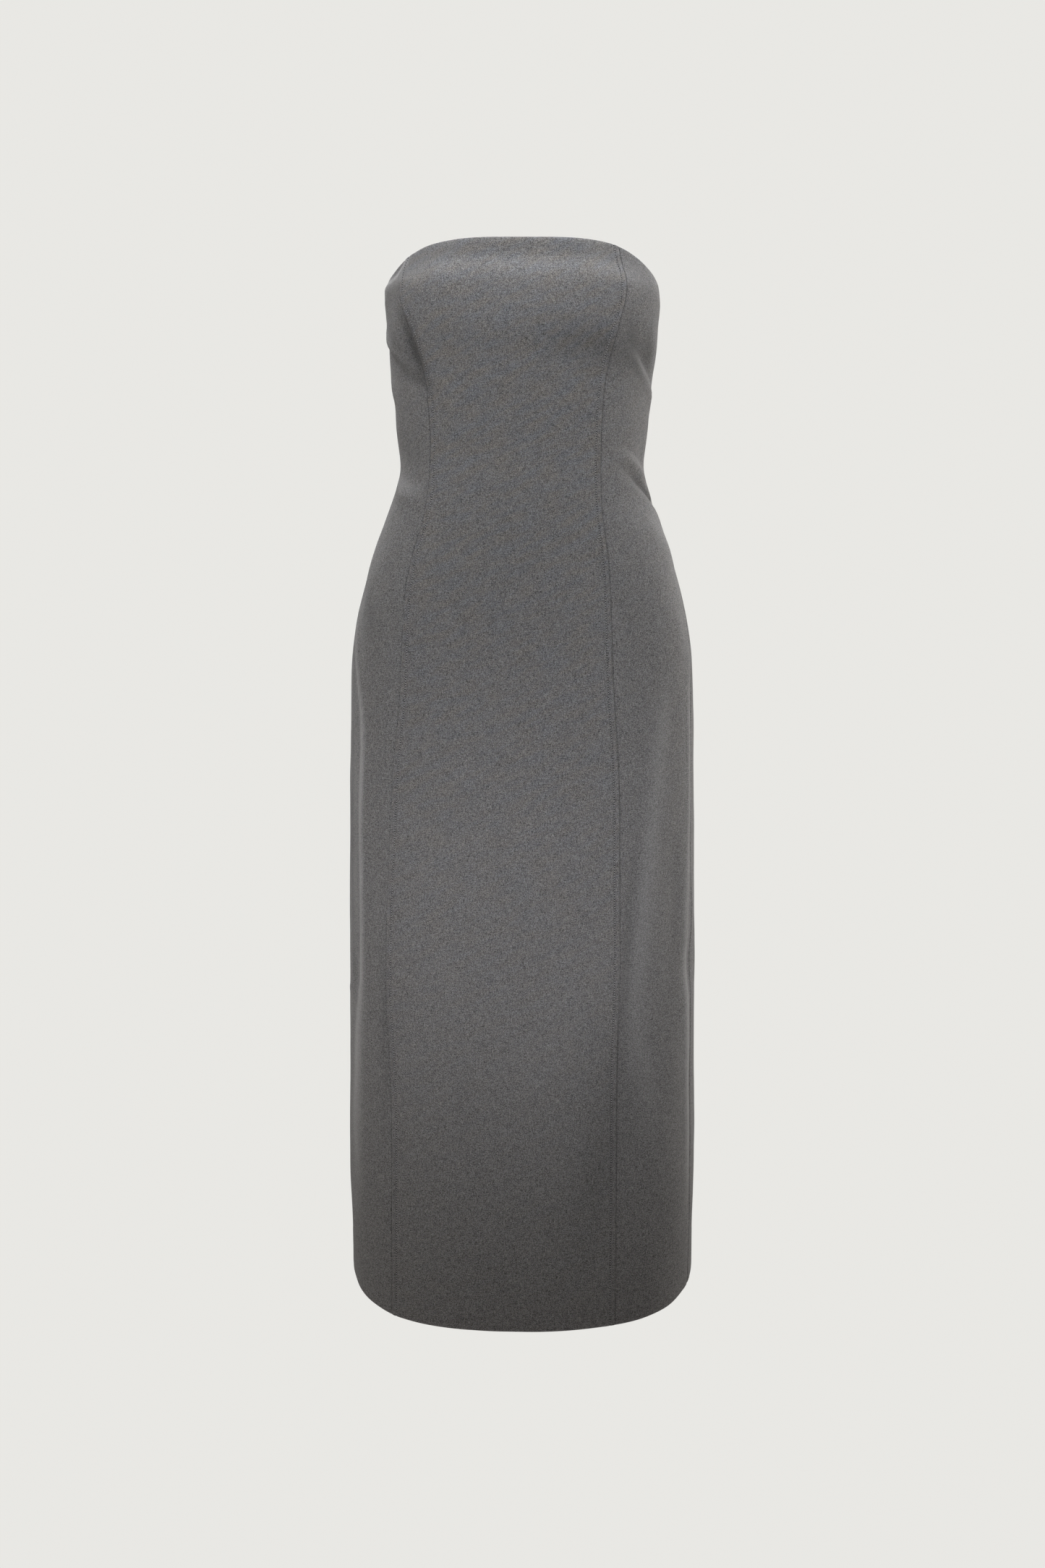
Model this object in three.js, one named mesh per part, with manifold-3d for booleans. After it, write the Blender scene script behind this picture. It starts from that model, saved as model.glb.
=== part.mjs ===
// Strapless column dress in suiting cloth, in the hollow form that it keeps when worn.
// Lengths are millimetres and angles degrees. +Z is up, the front faces -Y, the wearer's left is +X.
// The origin is on the dress's upright axis, level with the top edge under the arms.
// An angle on the dress is counted from centre front, and is positive towards the wearer's left.
import * as THREE from "three";
import { mergeVertices } from "three/addons/utils/BufferGeometryUtils.js";
import Module from "manifold-3d";

// Cloth
const WALL = 1.5;
const SEAM_GAP = 0.3;

// Heights where the spacing of the rows of points changes, and the rows in each band
const HIP = -400;
const WAIST = -163;
const ROWS_IN_BAND = 12;
const BANDS = 3;
const TOP_LEVEL = ROWS_IN_BAND * BANDS;
const LEAST_LEVEL_STEP = 0.05;

// Steps in degrees and millimetres by which slopes are measured, and the passes that settle a place
const TURN_STEP = 0.25;
const RISE_STEP = 1;
const SETTLING_PASSES = 8;

// Columns of points in each panel
const CENTRE_COLUMNS = 14;
const SIDE_COLUMNS = 7;
const BACK_COLUMNS = 13;

// Concealed zip, behind the centre-back seam
const CLEARANCE = 0.3;
const TAPE_WIDTH = 12;
const TAPE_THICK = 1;
const TAPE_INNER_EDGE = 0.5;
const TAPE_BOTTOM_LEVEL = 14;
const TAPE_TOP_LEVEL = TOP_LEVEL - 0.2;
const CHAIN_WIDTH = 3.2;
const CHAIN_THICK = 1.4;
const CHAIN_BOTTOM = -335;
const STOP = { width: 5, height: 5, thick: 2.2 };
const SLIDER_DROP = 11;
const SLIDER = { width: 6, height: 9, thick: 3, corner: 1.6 };
const NECK_THICK = 1;
const CROWN = { radius: 2.2, hole: 1, standOff: 2.6 };
const OPEN_HALF_GAP = 0.95;
const OPEN_DROP = 17;
const SHUT_DROP = 28;
const PULL = { thick: 1.2, pin: 0.55, cheek: 1, slotHalf: 0.8, slotDepth: 2.6, head: 0.9 };
const TAB = { shoulder: 1.8, waist: 1.5, waistDrop: 8, belly: 3.1, bellyDrop: 18, length: 22 };

// Colours
const CLOTH = { color: 0x636363, roughness: 0.9, metalness: 0 };
const TAPE_CLOTH = { color: 0x4a4a4c, roughness: 0.95, metalness: 0 };
const COIL = { color: 0x505053, roughness: 0.5, metalness: 0 };
const ENAMEL = { color: 0x57575a, roughness: 0.45, metalness: 0.6 };

// Rings round the dress. A corner of 2 is an ellipse, and a larger one is squarer.
const RINGS = splines(
  ["height", "halfWidth", "front", "back", "frontCorner", "backCorner"],
  [
    [75, 132.6, 83, 94, 2.45, 2.3],
    [60, 134.7, 89, 94, 2.45, 2.3],
    [40, 137, 98, 94, 2.45, 2.3],
    [15, 138.6, 108.8, 93.5, 2.42, 2.3],
    [-8, 137.9, 116, 93, 2.4, 2.3],
    [-35, 136, 119, 92, 2.38, 2.3],
    [-70, 132.6, 114, 89, 2.35, 2.3],
    [-110, 128.9, 103, 83, 2.3, 2.3],
    [-145, 124.8, 93.5, 78, 2.28, 2.25],
    [-163, 123.6, 91, 77, 2.28, 2.25],
    [-180, 127, 92, 80, 2.28, 2.25],
    [-218, 139.6, 97, 92, 2.3, 2.25],
    [-260, 154.2, 104, 106, 2.35, 2.25],
    [-307, 166.1, 109, 118, 2.4, 2.25],
    [-352, 173.4, 112.5, 125, 2.45, 2.25],
    [-400, 175.6, 115, 127, 2.5, 2.28],
    [-500, 176.9, 119, 126, 2.55, 2.3],
    [-700, 178.6, 125, 123, 2.6, 2.32],
    [-890, 179.7, 131, 121, 2.6, 2.35],
    [-1030, 177.8, 135.5, 121, 2.6, 2.35],
  ],
);

// The top edge dips from the bust to the back, and the hem hangs lowest in front.
const EDGES = splines(
  ["angle", "top", "hem"],
  [
    [0, 57.4, -1017.2],
    [28, 55.7, -1015],
    [43, 47.5, -1012.7],
    [53, 36.8, -1009.2],
    [63, 25.5, -1004.3],
    [79, 9, -996.8],
    [95, -3, -994],
    [125, -18, -995],
    [155, -28, -998],
    [180, -30, -999],
  ],
);

// Seams of the front: princess seams by their distance from the middle, side seams by their angle.
// The dress sits turned a little to the wearer's right, so its two sides differ.
const SEAMS = splines(
  ["height", "princessRight", "princessLeft", "sideRight", "sideLeft"],
  [
    [60, -109.5, 92.5, -94, 87],
    [17, -120, 100.3, -94, 87],
    [-20, -114.2, 95.5, -94, 87],
    [-60, -100.6, 84.2, -93, 87],
    [-95, -93.4, 79, -93, 86.5],
    [-163, -91.2, 76.8, -92, 86],
    [-205, -96, 78.2, -91.5, 85],
    [-255, -109.8, 84.2, -90, 82.5],
    [-300, -116.4, 86.9, -88, 79],
    [-345, -118.5, 88, -86.5, 73.8],
    [-392, -121, 89.8, -85, 69.8],
    [-430, -125, 92.7, -84, 68.3],
    [-560, -132.6, 95.7, -83, 67.5],
    [-690, -135.8, 96.1, -83, 66.5],
    [-770, -131.9, 94.3, -83, 65.8],
    [-860, -130.6, 93.4, -83, 65.5],
    [-1030, -131.5, 92.5, -83, 65.5],
  ],
);

// Soft folds: a straight ridge between two places, or a trough where its lift is less than 0.
const FOLDS = named(
  ["fromAngle", "fromHeight", "toAngle", "toHeight", "reach", "lift"],
  [
    [-71, -38, -44, -86, 11, -2],
    [-96, -52, -62, -112, 13, 1.6],
    [56, -54, 86, -108, 11, 2],
    [47, -40, 78, -96, 12, -1.8],
    [54, -154, 72, -196, 11, -2.2],
    [-74, -172, -50, -206, 13, 1.6],
    [43, -430, 36, -730, 20, 3],
    [22, -640, 24, -850, 24, -2.4],
    [-60, -400, -57, -690, 13, 1.8],
    [-66, -645, -64, -715, 17, -2.6],
    [63, -630, 64, -700, 17, -2.6],
    [-24, -700, -30, -940, 26, 2],
    [104, -60, 140, -118, 14, -2],
    [-106, -56, -142, -122, 14, -2],
    [118, -182, 166, -176, 14, -2.4],
    [-114, -186, -166, -174, 14, -2.2],
    [126, -214, 160, -204, 13, 1.8],
    [136, -470, 148, -780, 24, 3],
    [-140, -500, -150, -860, 26, 3.2],
    [112, -560, 108, -900, 24, -2.4],
    [-114, -520, -112, -800, 22, -2.2],
  ],
);

// Curves through a table's rows by column name, level at both ends. The first column is the place.
function splines(columns, rows) {
  const sorted = [...rows].sort((p, q) => p[0] - q[0]);
  const places = sorted.map((row) => row[0]);
  const curves = {};
  columns.slice(1).forEach((name, k) => {
    curves[name] = spline(places, sorted.map((row) => row[k + 1]));
  });
  return curves;
}

function named(columns, rows) {
  return rows.map((row) => Object.fromEntries(columns.map((name, k) => [name, row[k]])));
}

// A cubic spline through values at rising places, as a function of the place.
function spline(places, values) {
  const last = places.length - 1;
  const step = (i) => places[i + 1] - places[i];
  const slope = (i) => (i < 0 || i >= last ? 0 : (values[i + 1] - values[i]) / step(i));
  const above = [];
  const right = [];
  for (let i = 0; i <= last; i++) {
    const before = i > 0 ? step(i - 1) : 0;
    const after = i < last ? step(i) : 0;
    const pivot = 2 * (before + after) - (i > 0 ? before * above[i - 1] : 0);
    const carried = i > 0 ? before * right[i - 1] : 0;
    above.push(after / pivot);
    right.push((6 * (slope(i) - slope(i - 1)) - carried) / pivot);
  }
  const bend = [...right];
  for (let i = last - 1; i >= 0; i--) {
    bend[i] -= above[i] * bend[i + 1];
  }
  return (place) => {
    const p = Math.min(Math.max(place, places[0]), places[last]);
    let i = 0;
    while (i < last - 1 && p > places[i + 1]) {
      i++;
    }
    const h = step(i);
    const a = (places[i + 1] - p) / h;
    const b = 1 - a;
    const bends = (a ** 3 - a) * bend[i] + (b ** 3 - b) * bend[i + 1];
    return a * values[i] + b * values[i + 1] + (bends * h * h) / 6;
  };
}

const radians = (degrees) => (degrees * Math.PI) / 180;
const degrees = (angle) => (angle * 180) / Math.PI;
const mix = (a, b, t) => a + (b - a) * t;
const topHeight = (angle) => EDGES.top(Math.abs(angle));
const hemHeight = (angle) => EDGES.hem(Math.abs(angle));

// The smooth ring without its folds, as x and y.
function ringPoint(angle, height) {
  const s = Math.sin(radians(angle));
  const c = Math.cos(radians(angle));
  const inFront = c > 0;
  const corner = inFront ? RINGS.frontCorner(height) : RINGS.backCorner(height);
  const depth = inFront ? RINGS.front(height) : RINGS.back(height);
  const reach = (Math.abs(s) ** corner + Math.abs(c) ** corner) ** (-1 / corner);
  return [RINGS.halfWidth(height) * reach * s, -depth * reach * c];
}

// The angle at which a ring is x from the middle, in front or at the back.
function angleAcross(x, height, atBack) {
  const corner = atBack ? RINGS.backCorner(height) : RINGS.frontCorner(height);
  const share = Math.abs(x) / RINGS.halfWidth(height);
  const turn = degrees(Math.atan2(share, (1 - share ** corner) ** (1 / corner)));
  return Math.sign(x) * (atBack ? 180 - turn : turn);
}

// How far the folds lift the cloth at a place.
function foldLift(angle, height) {
  const depth = (RINGS.front(height) + RINGS.back(height)) / 2;
  const perDegree = radians((RINGS.halfWidth(height) + depth) / 2);
  let lift = 0;
  for (const fold of FOLDS) {
    const along = [(fold.toAngle - fold.fromAngle) * perDegree, fold.toHeight - fold.fromHeight];
    const from = [(angle - fold.fromAngle) * perDegree, height - fold.fromHeight];
    const length = Math.hypot(...along);
    const share = (from[0] * along[0] + from[1] * along[1]) / length ** 2;
    const aside = (from[0] * along[1] - from[1] * along[0]) / length;
    if (share > 0 && share < 1) {
      lift += fold.lift * Math.sin(Math.PI * share) ** 1.5 * Math.exp(-((aside / fold.reach) ** 2));
    }
  }
  return lift;
}

// The cloth's outer face.
function clothPoint(angle, height) {
  const [x, y] = ringPoint(angle, height);
  const [xa, ya] = ringPoint(angle - TURN_STEP, height);
  const [xb, yb] = ringPoint(angle + TURN_STEP, height);
  const run = Math.hypot(xb - xa, yb - ya);
  const lift = foldLift(angle, height);
  return new THREE.Vector3(x + (lift * (yb - ya)) / run, y - (lift * (xb - xa)) / run, height);
}

function clothNormal(angle, height) {
  const round = clothPoint(angle + TURN_STEP, height).sub(clothPoint(angle - TURN_STEP, height));
  const up = clothPoint(angle, height + RISE_STEP).sub(clothPoint(angle, height - RISE_STEP));
  return round.cross(up).normalize();
}

function millimetresPerDegree(angle, height) {
  return clothPoint(angle + 0.5, height).distanceTo(clothPoint(angle - 0.5, height));
}

// A level counts rows of points up from the hem, and its height follows the hem and the top edge.
function levelHeight(level, angle) {
  const stops = [hemHeight(angle), HIP, WAIST, topHeight(angle)];
  const band = Math.min(Math.floor(level / ROWS_IN_BAND), BANDS - 1);
  return mix(stops[band], stops[band + 1], level / ROWS_IN_BAND - band);
}

// The level of a height on the centre-back seam, above the waist or below it.
function levelAtBack(height) {
  if (height > WAIST) {
    return ROWS_IN_BAND * (2 + (height - WAIST) / (topHeight(180) - WAIST));
  }
  return ROWS_IN_BAND * (1 + (height - HIP) / (WAIST - HIP));
}

// The guides that bound the panels: the angle of a seam at a height.
const guides = {
  backRight: () => -180,
  tapeRight: (height) => angleAcross(-TAPE_WIDTH, height, true),
  sideRight: (height) => SEAMS.sideRight(height),
  princessRight: (height) => angleAcross(SEAMS.princessRight(height), height, false),
  princessLeft: (height) => angleAcross(SEAMS.princessLeft(height), height, false),
  sideLeft: (height) => SEAMS.sideLeft(height),
  tapeLeft: (height) => angleAcross(TAPE_WIDTH, height, true),
  backLeft: () => 180,
};

// Half the gap at a seam. The centre-back seam opens round the zip's slider and above it.
function halfGap(guide, height) {
  const atBack = guide === guides.backLeft || guide === guides.backRight;
  const drop = topHeight(180) - height;
  const open = atBack ? Math.min(Math.max((SHUT_DROP - drop) / (SHUT_DROP - OPEN_DROP), 0), 1) : 0;
  return mix(SEAM_GAP / 2, OPEN_HALF_GAP, open);
}

// Where a column between two guides meets a level: its angle and height.
function place(guideA, guideB, share, level) {
  let height = levelHeight(level, 90);
  let angle = 0;
  for (let i = 0; i < SETTLING_PASSES; i++) {
    angle = mix(guideA(height), guideB(height), share);
    height = levelHeight(level, angle);
  }
  return { angle, height };
}

// A panel's points: outer[row][column] and inner[row][column], with its outward normals.
function panelGrid(edges, columnCounts) {
  const grid = { outer: [], inner: [], normal: [] };
  const first = edges[0];
  const last = edges[edges.length - 1];
  for (let level = 0; level <= TOP_LEVEL; level++) {
    const places = [];
    columnCounts.forEach((count, k) => {
      for (let i = 0; i < count; i++) {
        places.push(place(edges[k], edges[k + 1], i / count, level));
      }
    });
    places.push(place(last, last, 0, level));
    const outer = [];
    const normal = [];
    places.forEach(({ angle, height }, i) => {
      const start = i === 0 ? halfGap(first, height) : 0;
      const end = i === places.length - 1 ? halfGap(last, height) : 0;
      const inset = (start - end) / millimetresPerDegree(angle, height);
      outer.push(clothPoint(angle + inset, height));
      normal.push(clothNormal(angle + inset, height));
    });
    grid.outer.push(outer);
    grid.normal.push(normal);
    grid.inner.push(outer.map((point, i) => point.clone().addScaledVector(normal[i], -WALL)));
  }
  return grid;
}

// A closed wall from two grids of points, whose columns run to the wearer's left and rows run up.
function wallGeometry(outer, inner) {
  const rows = outer.length;
  const columns = outer[0].length;
  const positions = [...outer.flat(), ...inner.flat()].flatMap((p) => [p.x, p.y, p.z]);
  const out = (r, c) => r * columns + c;
  const within = (r, c) => rows * columns + out(r, c);
  const index = [];
  const quad = (a, b, c, d) => index.push(a, b, c, a, c, d);
  for (let r = 0; r < rows - 1; r++) {
    for (let c = 0; c < columns - 1; c++) {
      quad(out(r, c), out(r, c + 1), out(r + 1, c + 1), out(r + 1, c));
      index.push(within(r, c), within(r + 1, c + 1), within(r, c + 1));
      index.push(within(r, c), within(r + 1, c), within(r + 1, c + 1));
    }
    const end = columns - 1;
    quad(within(r, 0), out(r, 0), out(r + 1, 0), within(r + 1, 0));
    quad(out(r, end), within(r, end), within(r + 1, end), out(r + 1, end));
  }
  const top = rows - 1;
  for (let c = 0; c < columns - 1; c++) {
    quad(within(0, c), within(0, c + 1), out(0, c + 1), out(0, c));
    quad(out(top, c), out(top, c + 1), within(top, c + 1), within(top, c));
  }
  const geometry = new THREE.BufferGeometry();
  geometry.setAttribute("position", new THREE.Float32BufferAttribute(positions, 3));
  geometry.setIndex(index);
  geometry.computeVertexNormals();
  return geometry;
}

// A point behind the back panels' facets: x across, at a level, by a depth from the outer face.
function behindBack(x, level, depth) {
  const grid = x > 0 ? panels.back_panel_left : panels.back_panel_right;
  const seam = x > 0 ? grid.outer[0].length - 1 : 0;
  const tape = x > 0 ? seam - 1 : 1;
  const row = Math.min(Math.floor(level), TOP_LEVEL - 1);
  const at = (column, name) => {
    return grid[name][row][column].clone().lerp(grid[name][row + 1][column], level - row);
  };
  const seamPoint = at(seam, "outer");
  const tapePoint = at(tape, "outer");
  const share = (x - seamPoint.x) / (tapePoint.x - seamPoint.x);
  const normal = at(seam, "normal").lerp(at(tape, "normal"), share).normalize();
  return seamPoint.lerp(tapePoint, share).addScaledVector(normal, -depth);
}

// A strip behind the centre-back seam, between two places across, with its rows on the panels' own.
function strip(xRight, xLeft, levels, depth, thick) {
  const row = (level, deep) => [xLeft, xRight].map((x) => behindBack(x(level), level, deep));
  const facing = levels.map((level) => row(level, depth));
  const inside = levels.map((level) => row(level, depth + thick));
  return wallGeometry(facing, inside);
}

// Whole levels between two places, with both ends.
function levelsBetween(low, high) {
  const levels = [low];
  for (let level = Math.floor(low) + 1; level < high - LEAST_LEVEL_STEP; level++) {
    levels.push(level);
  }
  return [...levels, high];
}

function tapeGeometry(side) {
  const gap = (level) => halfGap(guides.backLeft, levelHeight(level, 180));
  const edge = (level) => TAPE_INNER_EDGE + gap(level) - SEAM_GAP / 2;
  const far = () => side * (TAPE_WIDTH - CLEARANCE);
  const near = (level) => side * edge(level);
  const [right, left] = side > 0 ? [near, far] : [far, near];
  const levels = levelsBetween(TAPE_BOTTOM_LEVEL, TAPE_TOP_LEVEL);
  return strip(right, left, levels, WALL + CLEARANCE, TAPE_THICK);
}

// Booleans for the slider and the pull
const manifold = await Module();
manifold.setup();

function solid(geometry) {
  const bare = geometry.index ? geometry.toNonIndexed() : geometry.clone();
  bare.deleteAttribute("normal");
  bare.deleteAttribute("uv");
  const merged = mergeVertices(bare, 1e-4);
  return new manifold.Manifold(
    new manifold.Mesh({
      numProp: 3,
      vertProperties: new Float32Array(merged.attributes.position.array),
      triVerts: new Uint32Array(merged.index.array),
    }),
  );
}

function joined(...geometries) {
  const made = geometries.map(solid).reduce((whole, piece) => whole.add(piece)).getMesh();
  const geometry = new THREE.BufferGeometry();
  geometry.setAttribute("position", new THREE.BufferAttribute(made.vertProperties, 3));
  geometry.setIndex(new THREE.BufferAttribute(made.triVerts, 1));
  geometry.computeVertexNormals();
  return geometry;
}

// A flat shape pushed out to a thickness, centred on its own plane.
function plate(shape, thick) {
  const options = { depth: thick, bevelEnabled: false, curveSegments: 8 };
  return new THREE.ExtrudeGeometry(shape, options).translate(0, 0, -thick / 2);
}

function roundedRectangle(width, height, corner) {
  const x = width / 2 - corner;
  const y = height / 2 - corner;
  const shape = new THREE.Shape();
  shape.absarc(x, y, corner, 0, Math.PI / 2);
  shape.absarc(-x, y, corner, Math.PI / 2, Math.PI);
  shape.absarc(-x, -y, corner, Math.PI, 1.5 * Math.PI);
  shape.absarc(x, -y, corner, 1.5 * Math.PI, 2 * Math.PI);
  return shape;
}

// In the slider's own frame +Y points out of the cloth's outer face and +Z runs up the seam.
function sliderGeometry() {
  const bodyFace = -(WALL + TAPE_THICK + 2 * CLEARANCE);
  const body = plate(roundedRectangle(SLIDER.width, SLIDER.height, SLIDER.corner), SLIDER.thick);
  body.rotateX(Math.PI / 2).translate(0, bodyFace - SLIDER.thick / 2, 0);
  const profile = new THREE.Shape();
  profile.moveTo(bodyFace - SLIDER.thick / 2, -CROWN.radius);
  profile.absarc(CROWN.standOff, 0, CROWN.radius, -Math.PI / 2, Math.PI / 2);
  profile.lineTo(bodyFace - SLIDER.thick / 2, CROWN.radius);
  const hole = new THREE.Path();
  hole.absarc(CROWN.standOff, 0, CROWN.hole, 0, 2 * Math.PI);
  profile.holes.push(hole);
  const bridge = plate(profile, NECK_THICK).applyMatrix4(
    new THREE.Matrix4().makeBasis(
      new THREE.Vector3(0, 1, 0),
      new THREE.Vector3(0, 0, 1),
      new THREE.Vector3(1, 0, 0),
    ),
  );
  return joined(body, bridge);
}

// The pull hangs from its pin, which is at its own origin and runs along X.
function pullGeometry() {
  const outline = new THREE.Shape();
  outline.moveTo(-TAB.shoulder, PULL.head);
  outline.lineTo(-TAB.shoulder, -PULL.slotDepth);
  const { waist, waistDrop, belly, bellyDrop, length } = TAB;
  outline.bezierCurveTo(-waist, -waistDrop / 2, -waist, -waistDrop, -belly, -bellyDrop);
  outline.bezierCurveTo(-belly, -length, belly, -length, belly, -bellyDrop);
  outline.bezierCurveTo(waist, -waistDrop, waist, -waistDrop / 2, TAB.shoulder, -PULL.slotDepth);
  outline.lineTo(TAB.shoulder, PULL.head);
  outline.lineTo(PULL.slotHalf, PULL.head);
  outline.lineTo(PULL.slotHalf, -PULL.slotDepth);
  outline.lineTo(-PULL.slotHalf, -PULL.slotDepth);
  outline.lineTo(-PULL.slotHalf, PULL.head);
  const tab = plate(outline, PULL.thick).rotateX(Math.PI / 2);
  const pin = new THREE.CylinderGeometry(PULL.pin, PULL.pin, 2 * PULL.slotHalf + PULL.cheek, 12);
  return joined(tab, pin.rotateZ(Math.PI / 2));
}

function piece(name, geometry, finish) {
  const mesh = new THREE.Mesh(geometry, new THREE.MeshStandardMaterial(finish));
  mesh.name = name;
  return mesh;
}

// The cloth panels, in order round the dress
const { backRight, tapeRight, sideRight, princessRight } = guides;
const { princessLeft, sideLeft, tapeLeft, backLeft } = guides;
const panels = {
  front_centre_panel: panelGrid([princessRight, princessLeft], [CENTRE_COLUMNS]),
  front_side_panel_left: panelGrid([princessLeft, sideLeft], [SIDE_COLUMNS]),
  front_side_panel_right: panelGrid([sideRight, princessRight], [SIDE_COLUMNS]),
  back_panel_left: panelGrid([sideLeft, tapeLeft, backLeft], [BACK_COLUMNS, 1]),
  back_panel_right: panelGrid([backRight, tapeRight, sideRight], [1, BACK_COLUMNS]),
};

// The zip
const sliderHeight = topHeight(180) - SLIDER_DROP;
const sliderLevel = levelAtBack(sliderHeight);
const seamFace = behindBack(OPEN_HALF_GAP, sliderLevel, 0).setX(0);
const seamNormal = seamFace.clone().sub(behindBack(OPEN_HALF_GAP, sliderLevel, 1).setX(0));
const tilt = Math.atan2(seamNormal.z, seamNormal.y);
const chainDepth = WALL + TAPE_THICK + 2 * CLEARANCE;
const chainTop = levelAtBack(sliderHeight - SLIDER.height / 2 - CLEARANCE);
const chainBottom = levelAtBack(CHAIN_BOTTOM);
const stopTop = levelAtBack(CHAIN_BOTTOM - CLEARANCE);
const stopBottom = levelAtBack(CHAIN_BOTTOM - CLEARANCE - STOP.height);
const across = (x) => () => x;

const zipChain = strip(
  across(-CHAIN_WIDTH / 2),
  across(CHAIN_WIDTH / 2),
  levelsBetween(chainBottom, chainTop),
  chainDepth,
  CHAIN_THICK,
);
const zipStop = strip(
  across(-STOP.width / 2),
  across(STOP.width / 2),
  [stopBottom, stopTop],
  chainDepth,
  STOP.thick,
);

const sliderFrame = new THREE.Group();
sliderFrame.position.copy(seamFace);
sliderFrame.rotation.x = tilt;
sliderFrame.add(piece("zip_slider", sliderGeometry(), ENAMEL));

const pull = piece("zip_pull", pullGeometry(), ENAMEL);
pull.position.copy(seamFace).addScaledVector(seamNormal.normalize(), CROWN.standOff);

const dress = new THREE.Group();
for (const [name, grid] of Object.entries(panels)) {
  dress.add(piece(name, wallGeometry(grid.outer, grid.inner), CLOTH));
}
dress.add(piece("zip_tape_left", tapeGeometry(1), TAPE_CLOTH));
dress.add(piece("zip_tape_right", tapeGeometry(-1), TAPE_CLOTH));
dress.add(piece("zip_chain", zipChain, COIL));
dress.add(piece("zip_bottom_stop", zipStop, ENAMEL));
dress.add(sliderFrame);
dress.add(pull);

export default dress;
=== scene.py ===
"""Strapless column dress in heathered suiting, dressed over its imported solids.

Lengths are metres and angles degrees. Z is up, the front faces -Y and the wearer's left is +X.
An angle on the dress is counted from centre front, and is positive towards the wearer's left.
"""
import math

import bpy
import numpy as np
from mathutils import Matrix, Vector


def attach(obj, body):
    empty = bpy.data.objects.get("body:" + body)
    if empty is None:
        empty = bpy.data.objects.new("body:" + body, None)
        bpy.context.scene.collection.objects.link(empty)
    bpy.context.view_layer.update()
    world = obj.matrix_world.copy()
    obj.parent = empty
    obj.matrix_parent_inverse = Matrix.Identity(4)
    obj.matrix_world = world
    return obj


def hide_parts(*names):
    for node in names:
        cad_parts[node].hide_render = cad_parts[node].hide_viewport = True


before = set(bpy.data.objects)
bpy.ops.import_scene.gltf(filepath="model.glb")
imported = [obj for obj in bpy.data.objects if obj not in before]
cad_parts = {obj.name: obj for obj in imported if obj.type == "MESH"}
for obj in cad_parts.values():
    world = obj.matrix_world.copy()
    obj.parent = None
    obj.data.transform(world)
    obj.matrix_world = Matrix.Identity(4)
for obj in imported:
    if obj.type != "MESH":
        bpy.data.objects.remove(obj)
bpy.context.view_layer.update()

# The cloth: one layer, and two where it is turned in or where seam allowances lie behind it
CLOTH_THICK = 0.0009
DOUBLE_THICK = 0.0015
ALLOWANCE = 0.012
ALLOWANCE_SOFT = 0.0007
HEM_DEPTH = 0.035
TURNED_SOFT = 0.001
EDGE_ROLL = 0.001

# The lift of the turned edges
TURN_LIFT = 0.00018
TURN_START = 0.001
TOP_TURN_END = 0.013
TURN_SOFT = 0.003

# Seams. The welt has a start, an end and a softness, and an allowance the ends of its rise and fall.
SEAM_DEPTH = 0.001
SEAM_ROLL = 0.0016
WELT_LIFT = 0.00045
WELT = (0.0004, 0.0048, 0.0008)
TURNED_ALLOWANCE_LIFT = 0.00022
TURNED_ALLOWANCE = (0.006, 0.0068, 0.0105, 0.0132)
OPEN_ALLOWANCE_LIFT = 0.0002
OPEN_ALLOWANCE = (0.001, 0.002, 0.009, 0.0127)

# Stitches: the row's distance from its seam, their pitch, and how they dent and pucker the cloth
TOPSTITCH = 0.0057
STITCH_PITCH = 0.0024
STITCH_SINK = 0.00042
STITCH_SINK_REACH = 0.0008
PUCKER_LIFT = 0.00007
PUCKER_WAVES = (0.0125, 0.0083)
SHORT_PUCKER = 0.7
SHORT_PUCKER_PHASE = 1.1
PUCKER_REACH = 0.005
STITCHLESS_ROWS = 4
# Dark discs on the cloth, painted as the shadow in each needle hole: radius, lift and sides
HOLE_SHADOW_RADIUS = 0.00064
HOLE_SHADOW_LIFT = 0.00024
HOLE_SHADOW_SIDES = 8
TUBE_SIDES = 6

# Darts of the back: distance from the middle, both ends, and how softly each fades
DART_OFFSET = 0.068
DART_ENDS = (-0.055, -0.335)
DART_FADES = (0.03, 0.04)
DART_SHARE = 0.8

# Colour that follows the form: painted highlight on pressed folds, painted shadow in the seams, and edge
# wear
PRESSED_LIFT = 0.0016
SIDE_DYES = 0.3
WEAR_REACH = 0.0012
SEAM_SHADOW_REACH = 0.0009
SEAM_SHADOW_BELOW = 0.45
SEAM_SHADOW_FADE = (-0.2, -0.1)
STITCH_SHADOW = 0.3
STITCH_SHADOW_REACH = 0.0006

# Half the gap between neighbours. It opens at the back round the zip's slider and above it.
CLOSED_GAP = 0.00003
BACK_GAP = 0.00004
SLIDER_GAP = 0.00086
SLIDER_DROP = 0.028
SLIDER_FADE = 0.011
GAP_FADE = 0.006

# Zip behind the centre-back seam
TAPE_WIDTH = 0.0117
TAPE_INNER_EDGE = 0.0005
TAPE_THICK = 0.0008
TAPE_DEPTH = 0.0018
TAPE_HEIGHTS = (-0.3605, -0.0322)
TAPE_ROWS = 120
TAPE_SHARES = (0, 0.04, 0.1, 0.2, 0.3, 0.33, 0.36, 0.5, 0.7, 0.9, 1.0)
TAPE_CORD = 0.0002
TAPE_CORD_SHARE = 0.25
CHAIN_HEIGHTS = (-0.3352, -0.0462)
CHAIN_DEPTH = 0.0036
TOOTH_PITCH = 0.0015

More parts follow.
